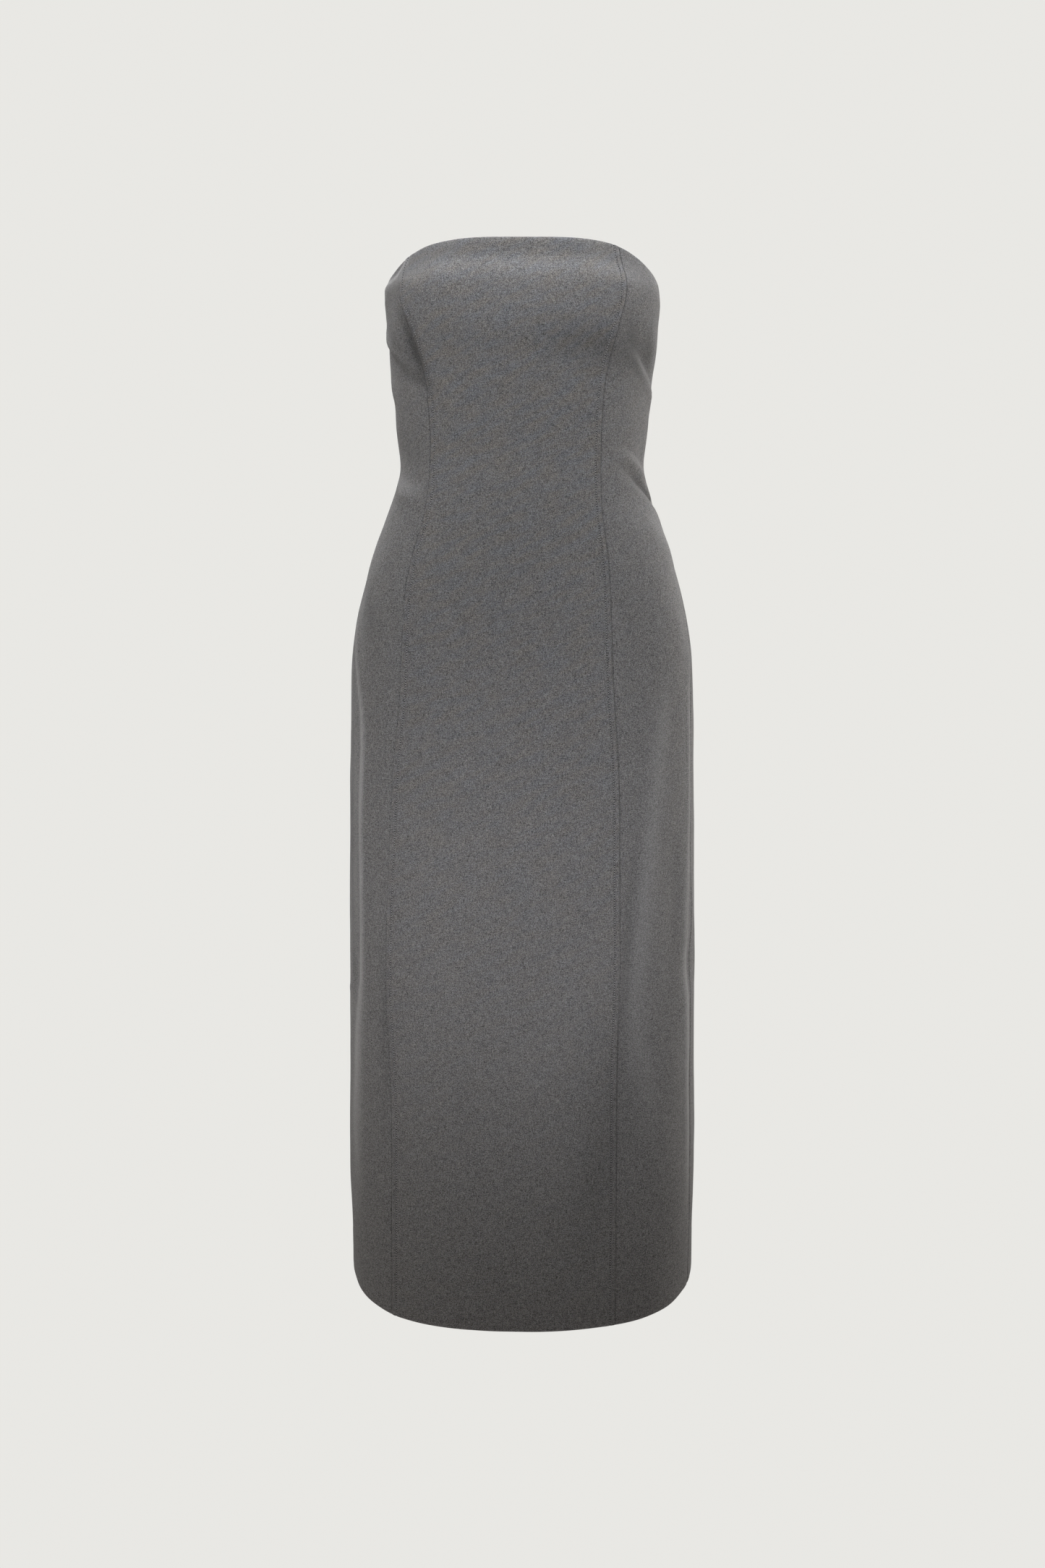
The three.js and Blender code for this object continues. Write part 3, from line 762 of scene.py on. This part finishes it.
    def line(self, distance):
        """Points and normals up a panel, at a distance from its first edge or back from its last."""
        target = distance if distance > 0 else self.width[:, 0] + distance
        k = int(np.argmin(np.abs(self.across - np.reshape(target, (-1, 1))).sum(0)))
        points = self.outer[:, k]
        side = self.outer[:, k + 2] - self.outer[:, k - 2]
        up = np.gradient(points, axis=0)
        return points, unit(np.cross(side, up))


class Nodes:
    """A material's nodes. Most methods add nodes and return their result."""

    def __init__(self, name):
        self.material = bpy.data.materials.new(name)
        self.material.use_nodes = True
        self.tree = self.material.node_tree
        self.shader = self.tree.nodes["Principled BSDF"]

    def feed(self, socket, value):
        if isinstance(value, bpy.types.NodeSocket):
            self.tree.links.new(value, socket)
        else:
            socket.default_value = value

    def feed_all(self, node, **inputs):
        for key, value in inputs.items():
            self.feed(node.inputs[key.replace("_", " ")], value)
        return node

    def node(self, kind, **inputs):
        return self.feed_all(self.tree.nodes.new(kind), **inputs)

    def finished(self, **inputs):
        """The material, once its shader's inputs are set or fed."""
        self.feed_all(self.shader, **inputs)
        return self.material

    def ordered(self, kind, *values):
        """A node whose inputs are fed in their own order."""
        made = self.node(kind)
        for socket, value in zip(made.inputs, values):
            self.feed(socket, value)
        return made

    def math(self, operation, *values):
        made = self.ordered("ShaderNodeMath", *values)
        made.operation = operation
        return made.outputs[0]

    def mapped(self, value, low, high, new_low=0.0, new_high=1.0):
        """A value carried from one range to another, and held within it."""
        return self.ordered("ShaderNodeMapRange", value, low, high, new_low, new_high).outputs[0]

    def mix(self, share, a, b, blend="MIX"):
        made = self.node("ShaderNodeMix")
        made.data_type = "RGBA"
        made.blend_type = blend
        return self.feed_all(made, Factor=share, A=a, B=b).outputs["Result"]

    def tinted(self, colour, tint):
        """A colour multiplied by another."""
        return self.mix(1.0, colour, tint, "MULTIPLY")

    def weighted(self, *pairs):
        """The sum of several values, each times its weight."""
        total = 0.0
        for value, weight in pairs:
            total = self.math("ADD", total, self.math("MULTIPLY", value, weight))
        return total

    def coordinate(self, x, y, z=0.0):
        return self.node("ShaderNodeCombineXYZ", X=x, Y=y, Z=z).outputs[0]

    def noise(self, vector, scale, detail=2.0, roughness=0.5):
        settings = {"Scale": scale, "Detail": detail, "Roughness": roughness}
        return self.node("ShaderNodeTexNoise", Vector=vector, **settings).outputs["Fac"]

    def bump(self, height, distance, strength):
        return self.node("ShaderNodeBump", Height=height, Distance=distance, Strength=strength).outputs[0]

    def grain(self, u, v, width, height, layer=0.0, detail=0.0):
        """Uneven grains of a width and a height on the cloth. Each layer has its own pattern."""
        place = self.coordinate(self.math("DIVIDE", u, width), self.math("DIVIDE", v, height), layer)
        return self.noise(place, 1.0, detail)

    def dyed(self, colour, value, low, high, low_tint, high_tint):
        """A colour tinted by a value, from one tint at its low to another at its high."""
        return self.tinted(colour, self.mix(self.mapped(value, low, high), low_tint, high_tint))

    def darkened(self, colour, name, depth):
        """A colour made darker where the mesh says so, down to a share of itself."""
        darker = self.mix(self.attribute(name), (1, 1, 1, 1), (depth, depth, depth, 1))
        return self.tinted(colour, darker)

    def attribute(self, name):
        made = self.node("ShaderNodeAttribute")
        made.attribute_name = name
        return made.outputs["Fac"]

    def object_place(self):
        return self.node("ShaderNodeTexCoord").outputs["Object"]

    def cloth_uv(self):
        uv = self.node("ShaderNodeUVMap")
        uv.uv_map = "cloth"
        parts = self.node("ShaderNodeSeparateXYZ", Vector=uv.outputs[0])
        return parts.outputs["X"], parts.outputs["Y"]


YARN = 0.00062
YARN_LENGTH = 0.0045

# Grains of the weave. Columns: width, height, layer
GRAINS = {
    "slub_up": (0.0007, 0.01, 3.0),
    "slub_across": (0.009, 0.0007, 7.0),
    "flecks": (0.00066, 0.0006, 1.5),
    "dyes": (0.0012, 0.0009, 9.0),
    "lilacs": (0.0009, 0.0008, 12.0),
}

DARK_YARN = (0.034, 0.0335, 0.0345, 1)
PALE_YARN = (0.2042, 0.2028, 0.2066, 1)
# Paler yarn mixed in for painted highlights and for real wear at the edges
HIGHLIGHT_AND_WEAR_YARN = (0.32, 0.32, 0.325, 1)


def suiting_material():
    """Mid-grey heathered plain weave: uneven yarns both ways, slubs, and a faint warm and cool mottle."""
    n = Nodes("heathered_suiting")
    u, v = n.cloth_uv()
    warp = n.grain(u, v, YARN, YARN_LENGTH, detail=1.0)
    weft = n.grain(u, v, YARN_LENGTH, YARN, detail=1.0)
    grains = {name: n.grain(u, v, *row) for name, row in GRAINS.items()}
    flecks = grains["flecks"]
    slubs = n.math("ADD", grains["slub_up"], grains["slub_across"])
    turns = [n.math("MULTIPLY", n.math("DIVIDE", place, YARN), math.pi) for place in (u, v)]
    over = n.math("MULTIPLY", *(n.math("SINE", turn) for turn in turns))
    warp_up = n.mapped(over, -0.4, 0.4)
    warp_shade = n.math("MULTIPLY", warp, warp_up)
    weft_shade = n.math("MULTIPLY", weft, n.math("SUBTRACT", 1.0, warp_up))
    yarn_shade = n.math("ADD", warp_shade, weft_shade)
    shade = n.weighted((yarn_shade, 1.3), (slubs, 0.55), (flecks, 3.2))
    colour = n.mix(n.mapped(shade, 1.83, 3.95), DARK_YARN, PALE_YARN)
    colour = n.dyed(colour, grains["dyes"], 0.3, 0.7, (0.985, 0.985, 1.04, 1), (1.02, 1.01, 0.95, 1))
    colour = n.dyed(colour, grains["lilacs"], 0.3, 0.7, (1.02, 0.965, 1.02, 1), (0.98, 1.03, 0.98, 1))
    along = n.weighted((u, 30.0), (v, 14.0))
    aslant = n.weighted((u, -50.0), (v, 110.0))
    mottle = n.noise(n.coordinate(along, aslant), 1.0, 2.0)
    mottled = n.dyed(colour, mottle, 0.35, 0.65, (0.945, 0.985, 1.05, 1), (1.05, 1.0, 0.935, 1))
    mottle_share = n.math("MULTIPLY", n.mapped(v, -0.85, -0.1, 0.15, 0.9), n.attribute("dyes"))
    colour = n.mix(mottle_share, colour, mottled)
    # Painted shade where folds and hollows fall in shadow, down to a fifth of the colour
    colour = n.darkened(colour, "shade", 0.2)
    # Painted shadow in the seam grooves and beside the topstitching
    colour = n.darkened(colour, "seam", 0.72)
    # Painted highlight on pressed folds and lit ridges, and real paling where the edges wear
    rubbed = n.weighted((n.attribute("painted_highlight"), 0.5), (n.attribute("wear"), 0.12))
    colour = n.mix(rubbed, colour, HIGHLIGHT_AND_WEAR_YARN)
    weave = n.math("ABSOLUTE", over)
    relief = n.weighted((weave, 0.5), (yarn_shade, 1.0), (slubs, 0.4), (flecks, 0.7))
    return n.finished(
        Base_Color=colour,
        Roughness=n.mapped(flecks, 0.3, 0.7, 0.92, 0.78),
        Normal=n.bump(relief, 0.00022, 0.8),
        Specular_IOR_Level=0.3,
        Sheen_Weight=0.16,
        Sheen_Roughness=0.3,
    )


def thread_material():
    """Twisted sewing thread, a little paler than the cloth."""
    n = Nodes("sewing_thread")
    waves = n.node("ShaderNodeTexWave", Vector=n.object_place(), Scale=900.0)
    waves.bands_direction = "DIAGONAL"
    twist = waves.outputs["Fac"]
    return n.finished(
        Base_Color=n.mix(twist, (0.15, 0.15, 0.154, 1), (0.27, 0.27, 0.275, 1)),
        Normal=n.bump(twist, 0.00006, 0.8),
        Roughness=0.6,
        Sheen_Weight=0.1,
    )


def needle_hole_shadow_material():
    """Near-black discs, painted as the shadow inside the needle holes."""
    n = Nodes("needle_hole_shadows")
    grain = n.noise(n.object_place(), 900.0)
    return n.finished(
        Base_Color=n.mix(grain, (0.006, 0.006, 0.0065, 1), (0.02, 0.02, 0.021, 1)),
        Roughness=1.0,
        Specular_IOR_Level=0.05,
    )


def tape_material():
    """Woven zip tape: fine herringbone ribs up its length."""
    n = Nodes("woven_zip_tape")
    u, v = n.cloth_uv()
    zigzag = n.math("PINGPONG", n.math("DIVIDE", u, 0.0016), 1.0)
    turns = n.math("ADD", n.math("DIVIDE", v, 0.0011), zigzag)
    ribs = n.math("SINE", n.math("MULTIPLY", turns, 2 * math.pi))
    fuzz = n.grain(u, v, 0.0006, 0.003, detail=2.0)
    tone = n.weighted((ribs, 0.18), (fuzz, 0.9))
    return n.finished(
        Base_Color=n.mix(tone, (0.045, 0.045, 0.047, 1), (0.105, 0.105, 0.11, 1)),
        Normal=n.bump(ribs, 0.00012, 0.7),
        Roughness=0.85,
        Sheen_Weight=0.1,
    )


def coil_material():
    """Matte polyester coil."""
    n = Nodes("zip_coil_plastic")
    grain = n.noise(n.object_place(), 1400.0, 3.0)
    return n.finished(
        Base_Color=n.mix(grain, (0.06, 0.06, 0.063, 1), (0.1, 0.1, 0.104, 1)),
        Roughness=n.mapped(grain, 0.2, 0.8, 0.38, 0.55),
        Normal=n.bump(grain, 0.00003, 0.4),
    )


def enamel_material():
    """Grey enamel over die-cast metal, with fine grain and rubbed spots."""
    n = Nodes("zip_enamel_grey")
    place = n.object_place()
    grain = n.noise(place, 2200.0, 3.0, 0.6)
    rubs = n.noise(place, 260.0, 2.0)
    tone = n.mapped(rubs, 0.35, 0.75)
    return n.finished(
        Base_Color=n.mix(tone, (0.05, 0.05, 0.053, 1), (0.085, 0.085, 0.09, 1)),
        Roughness=n.mapped(grain, 0.2, 0.8, 0.26, 0.42),
        Normal=n.bump(grain, 0.00002, 0.5),
        Metallic=0.35,
        Coat_Weight=0.2,
        Coat_Roughness=0.25,
    )


def spaced_line(points, normals, pitch):
    """Evenly spaced points along a line, with their tangents, normals and sideways directions."""
    hops = np.linalg.norm(np.diff(points, axis=0), axis=1)
    along = np.concatenate([[0], np.cumsum(hops)])
    at = np.arange(pitch, along[-1] - pitch / 2, pitch)
    place = np.stack([np.interp(at, along, points[:, k]) for k in range(3)], -1)
    normal = unit(np.stack([np.interp(at, along, normals[:, k]) for k in range(3)], -1))
    tangent = unit(np.gradient(place, axis=0))
    aside = unit(np.cross(tangent, normal))
    return place, tangent, unit(np.cross(aside, tangent)), aside


def repeated(template, faces, place, tangent, normal, aside):
    """Copies of a small shape at each place. Its points are along, out and aside."""
    along, out, side = (template[None, :, k : k + 1] for k in range(3))
    points = place[:, None] + along * tangent[:, None] + out * normal[:, None] + side * aside[:, None]
    shift = np.arange(len(place))[:, None, None] * len(template)
    return points.reshape(-1, 3), (np.array(faces)[None] + shift).reshape(-1, len(faces[0]))


def tube_template(rows):
    """A closed tube through rows of along, out, aside and radius. Its sides are an even number."""
    path = np.array(rows, float)[:, :3]
    radii = np.array(rows, float)[:, 3]
    sides = TUBE_SIDES
    tangent = unit(np.gradient(path, axis=0))
    first = unit(np.cross(tangent, (0, 1, 0)))
    second = np.cross(tangent, first)
    turn = np.linspace(0, 2 * np.pi, sides, endpoint=False)
    ring = np.cos(turn)[None, :, None] * first[:, None] + np.sin(turn)[None, :, None] * second[:, None]
    points = (path[:, None] + ring * radii[:, None, None]).reshape(-1, 3)
    faces = []
    for r in range(len(path) - 1):
        for s in range(sides):
            a = r * sides + s
            b = r * sides + (s + 1) % sides
            faces.append((a, b, b + sides, a + sides))
    last = (len(path) - 1) * sides
    for s in range(1, sides - 1, 2):
        faces.append((0, s + 2, s + 1, s))
        faces.append((last, last + s, last + s + 1, last + s + 2))
    return points, faces


def mesh_of(name, parts):
    """One mesh from lots of points and faces, each with the number of its material."""
    points = []
    faces = []
    numbers = []
    start = 0
    for lot_points, lot_faces, number in parts:
        points.extend(lot_points.tolist())
        faces.extend((lot_faces + start).tolist())
        numbers.extend([number] * len(lot_faces))
        start += len(lot_points)
    mesh = smooth_mesh(name, points, faces)
    mesh.polygons.foreach_set("material_index", numbers)
    mesh.update()
    return mesh


# A machine stitch, as a tube. Columns: along, out, aside, radius
STITCH = (
    (-0.00092, -0.00022, 0, 0.00014),
    (-0.0008, 0.00005, 0, 0.00024),
    (-0.00046, 0.0002, 0, 0.00028),
    (0.00046, 0.0002, 0, 0.00028),
    (0.0008, 0.00005, 0, 0.00024),
    (0.00092, -0.00022, 0, 0.00014),
)


def topstitch(name, panel, distance, thread, hole_shadow):
    """A row of machine stitches, each a thread that dips into the cloth, and dark discs painted as hole
    shadows.
    """
    points, normals = panel.line(distance)
    sewn = slice(STITCHLESS_ROWS, -STITCHLESS_ROWS)
    place, tangent, *others = spaced_line(points[sewn], normals[sewn], STITCH_PITCH)
    stitch, faces = tube_template(STITCH)
    turn = np.linspace(0, 2 * np.pi, HOLE_SHADOW_SIDES, endpoint=False)
    disc = np.stack([HOLE_SHADOW_RADIUS * np.cos(turn), 0 * turn + HOLE_SHADOW_LIFT, HOLE_SHADOW_RADIUS * np.sin(turn)], -1)
    between = place + tangent * STITCH_PITCH / 2
    lots = [
        (*repeated(stitch, faces, place, tangent, *others), 0),
        (*repeated(disc, [range(HOLE_SHADOW_SIDES)], between, tangent, *others), 1),
    ]
    return add_object(name, mesh_of(name, lots), thread, hole_shadow)


def back_frame(x, height, depth):
    """Points behind the back of the dress, by their distance across, heights and depth."""
    angle = angle_across(x, height, True)
    return cloth_point(angle, height) - cloth_normal(angle, height) * depth


def zip_tape(name, side, material):
    """One tape of the zip, a little thicker at the edge that carries the coil."""
    heights = np.linspace(*TAPE_HEIGHTS, TAPE_ROWS)
    shares = np.array(TAPE_SHARES)
    inner_edge = TAPE_INNER_EDGE + back_gap(heights)
    outer = []
    inner = []
    for share in shares:
        x = side * (inner_edge + (TAPE_WIDTH - inner_edge) * share)
        thick = TAPE_THICK + (TAPE_CORD if share < TAPE_CORD_SHARE else 0)
        outer.append(back_frame(x, heights, TAPE_DEPTH))
        inner.append(back_frame(x, heights, TAPE_DEPTH + thick))
    order = slice(None, None, -side)
    outer = np.stack(outer[order], 1)
    inner = np.stack(inner[order], 1)
    uv = np.stack(np.broadcast_arrays(shares[order] * TAPE_WIDTH, heights[:, None]), -1)
    return add_object(name, wall_mesh(name, outer, inner, uv, {}), material)


# A loop of the coil, as a tube. Columns: along, out, aside, radius
COIL_LOOP = (
    (-0.0003, 0.0004, 0.0017, 0.0002),
    (-0.0003, 0.00045, 0.0008, 0.00026),
    (-0.0002, 0.0003, -0.0002, 0.00028),
    (0, 0, -0.00055, 0.0003),
    (0.0002, -0.0003, -0.0002, 0.00028),
    (0.0003, -0.00045, 0.0008, 0.00026),
    (0.0003, -0.0004, 0.0017, 0.0002),
)

# A line up the middle of the back lies a hair to one side of it, or it would run up the front
HAIR = 1e-6


def zip_coil(name, material):
    """Interlocked loops of the closed coil, in turn from the left tape and the right one."""
    heights = np.arange(*CHAIN_HEIGHTS, TOOTH_PITCH / 2)
    template, faces = tube_template(COIL_LOOP)
    lots = []
    for side, own in ((1, heights[0::2]), (-1, heights[1::2])):
        place = back_frame(HAIR, own, CHAIN_DEPTH)
        up = unit(back_frame(HAIR, own + RISE_STEP, CHAIN_DEPTH) - place)
        aside = np.tile([float(side), 0.0, 0.0], (len(own), 1))
        out = unit(np.cross(up, aside)) * side
        lots.append((*repeated(template, faces, place, up, out, aside), 0))
    return add_object(name, mesh_of(name, lots), material)


SOFT_SEGMENTS = 2
SHARP_ANGLE = 35
SAME_PLACE = 0.00001


def soften(node, width):
    """Rounds the sharp edges of a hard part, by modifiers alone."""
    weld = node.modifiers.new("join_corners", "WELD")
    weld.merge_threshold = SAME_PLACE
    bevel = node.modifiers.new("soft_edges", "BEVEL")
    bevel.width = width
    bevel.segments = SOFT_SEGMENTS
    bevel.limit_method = "ANGLE"
    bevel.angle_limit = math.radians(SHARP_ANGLE)
    node.data.polygons.foreach_set("use_smooth", [False] * len(node.data.polygons))


# Columns: name, place, target, power, cone, softness of its edge, colour
SPOT_LIGHTS = (
    ("front", (0, -2.6, 0.1), (0, 0, -0.22), 160, 34, 0.8, COOL),
    ("rib", (0, -2.6, 0), (0, 0, -0.103), 44, 5, 1, COOL),
    ("lap", (-0.2, -2.6, -0.3), (0.011, 0, -0.628), 178, 8.9, 0.4, LILAC),
    ("corner_left", (-1.1, -1.5, 1), (-0.115, 0, 0.025), 330, 7, 1, WHITE),
    ("corner_right", (1.1, -1.5, 1), (0.11, 0, 0.02), 295, 8, 1, WHITE),
    ("hip_right", (1.1, -1.5, 0.9), (0.13, 0, -0.23), 105, 7, 1, WARM),
)

# Columns: name, place, target, power, size, colour
AREA_LIGHTS = (
    ("top", (0, -0.1, 1.3), (0, -0.08, 0), 16, (1.2, 0.3), WHITE),
    ("top_back", (0, 0.35, 1.3), (0, -0.08, 0), 44, (1.2, 0.4), WHITE),
    ("floor_bounce", (-0.2, -1.1, -1.32), (0, 0, -1.0), 4.5, (0.8, 0.5), WARM),
    ("side_left", (-1.9, -0.1, -0.2), (0, 0, -0.4), 14, (0.5, 1.6), WARM),
    ("side_right", (1.9, -0.1, -0.2), (0, 0, -0.4), 10.4, (0.5, 1.6), WARM),
    ("rim_right", (1.5, 0.75, -0.4), (0, 0, -0.4), 17, (0.35, 1.6), WARM),
    ("rim_left", (-1.5, 0.75, -0.75), (0, 0, -0.75), 2.4, (0.35, 1.2), WARM),
    ("back", (0, 2.6, 0.6), (0, 0, -0.3), 26, (1.6, 1.2), WHITE),
)
SPOT_RADIUS = 0.25


def add_light(name, kind, place, target, power, colour):
    """A lamp that stands at a place and faces its target."""
    lamp = bpy.data.lights.new(name, kind)
    lamp.energy = power
    lamp.color = colour
    made = linked(name, lamp)
    made.location = place
    made.rotation_euler = (Vector(target) - Vector(place)).to_track_quat("-Z", "Y").to_euler()
    return lamp


def studio_lights():
    for name, place, target, power, cone, softness, colour in SPOT_LIGHTS:
        spot = add_light(name, "SPOT", place, target, power, colour)
        spot.spot_size = math.radians(cone)
        spot.spot_blend = softness
        spot.shadow_soft_size = SPOT_RADIUS
    for name, place, target, power, size, colour in AREA_LIGHTS:
        area = add_light(name, "AREA", place, target, power, colour)
        area.shape = "RECTANGLE"
        area.size, area.size_y = size


# The seamless floor, its wall, and the air
FLOOR = -1.34
FLOOR_REACH = 3.4
WALL_BEND = 1.0
WALL_TOP = 4.5
BEND_STEPS = 12
FLOOR_SIDES = 96
PAPER = (0.812, 0.805, 0.776, 1)
AIR = (1, 0.96, 0.9, 1)
AIR_STRENGTH = 0.04


def seamless_floor():
    """A pale seamless floor and wall all round, which only the camera sees."""
    profile = [(FLOOR_REACH, FLOOR)]
    for step in range(1, BEND_STEPS + 1):
        turn = math.radians(90 * step / BEND_STEPS)
        radius = FLOOR_REACH + WALL_BEND * math.sin(turn)
        profile.append((radius, FLOOR + WALL_BEND * (1 - math.cos(turn))))
    profile.append((FLOOR_REACH + WALL_BEND, WALL_TOP))
    points = []
    faces = []
    for radius, height in profile:
        for s in range(FLOOR_SIDES):
            turn = 2 * math.pi * s / FLOOR_SIDES
            points.append((radius * math.cos(turn), radius * math.sin(turn), height))
    for r in range(len(profile) - 1):
        for s in range(FLOOR_SIDES):
            a = r * FLOOR_SIDES + s
            b = r * FLOOR_SIDES + (s + 1) % FLOOR_SIDES
            faces.append((a, a + FLOOR_SIDES, b + FLOOR_SIDES, b))
    centre = len(points)
    points.append((0, 0, FLOOR))
    faces.extend((centre, s, (s + 1) % FLOOR_SIDES) for s in range(FLOOR_SIDES))
    mesh = smooth_mesh("seamless_floor", points, faces)
    paper = Nodes("pale_paper").finished(
        Base_Color=(0, 0, 0, 1),
        Specular_IOR_Level=0,
        Emission_Color=PAPER,
        Emission_Strength=1,
    )
    made = add_object("seamless_floor", mesh, paper)
    made.visible_diffuse = False
    made.visible_glossy = False
    made.visible_shadow = False


def studio_air():
    """Faint light from all round."""
    world = bpy.data.worlds.new("studio_air")
    world.use_nodes = True
    background = world.node_tree.nodes["Background"]
    background.inputs["Color"].default_value = AIR
    background.inputs["Strength"].default_value = AIR_STRENGTH
    bpy.context.scene.world = world


def photo_camera():
    lens = bpy.data.cameras.new("photo_camera")
    lens.sensor_width = SENSOR
    lens.lens = FOCAL_PIXELS / FRAME_HEIGHT * SENSOR
    lens.shift_y = (AIM_ROW - FRAME_HEIGHT / 2) / FRAME_HEIGHT
    made = linked("photo_camera", lens)
    made.location = CAMERA_PLACE
    made.rotation_euler = (math.radians(90 - CAMERA_PITCH), 0, 0)
    bpy.context.scene.camera = made


photo_camera()
seamless_floor()
studio_air()
studio_lights()
bpy.context.scene.view_settings.view_transform = "Standard"

suiting = suiting_material()
sewing_thread = thread_material()
needle_hole_shadows = needle_hole_shadow_material()
woven_tape = tape_material()
coil_plastic = coil_material()
zip_enamel = enamel_material()

# The cloth panels: name, guides by rising angle, and the kinds of seam at the guides
PANELS = (
    ("front_centre_panel", ("princess_right", "princess_left"), ("topstitched", "topstitched")),
    ("front_side_panel_left", ("princess_left", "side_left"), ("under", "pressed open")),
    ("front_side_panel_right", ("side_right", "princess_right"), ("pressed open", "under")),
    ("back_panel_left", ("side_left", "dart_left", "back_left"), ("pressed open", "dart", "zipped")),
    ("back_panel_right", ("back_right", "dart_right", "side_right"), ("zipped", "dart", "pressed open")),
)

panels = {}
for panel_name, panel_guides, seam_kinds in PANELS:
    panel = Panel(panel_name, panel_guides, seam_kinds)
    panels[panel_name] = panel
    cloth = panel.build(suiting)
    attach(cloth, "dress")
    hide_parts(panel_name)

front = panels["front_centre_panel"]
for stitch_name, distance in (("topstitch_right", TOPSTITCH), ("topstitch_left", -TOPSTITCH)):
    stitches = topstitch(stitch_name, front, distance, sewing_thread, needle_hole_shadows)
    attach(stitches, "dress")

for tape_side, tape_end in ((1, "left"), (-1, "right")):
    tape = zip_tape("zip_tape_cloth_" + tape_end, tape_side, woven_tape)
    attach(tape, "dress")
    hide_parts("zip_tape_" + tape_end)

coil = zip_coil("zip_coil_loops", coil_plastic)
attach(coil, "dress")
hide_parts("zip_chain")

for hard_node, softness in (("zip_slider", 0.00025), ("zip_pull", 0.0002), ("zip_bottom_stop", 0.0003)):
    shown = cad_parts[hard_node]
    shown.data.materials.clear()
    shown.data.materials.append(zip_enamel)
    soften(shown, softness)
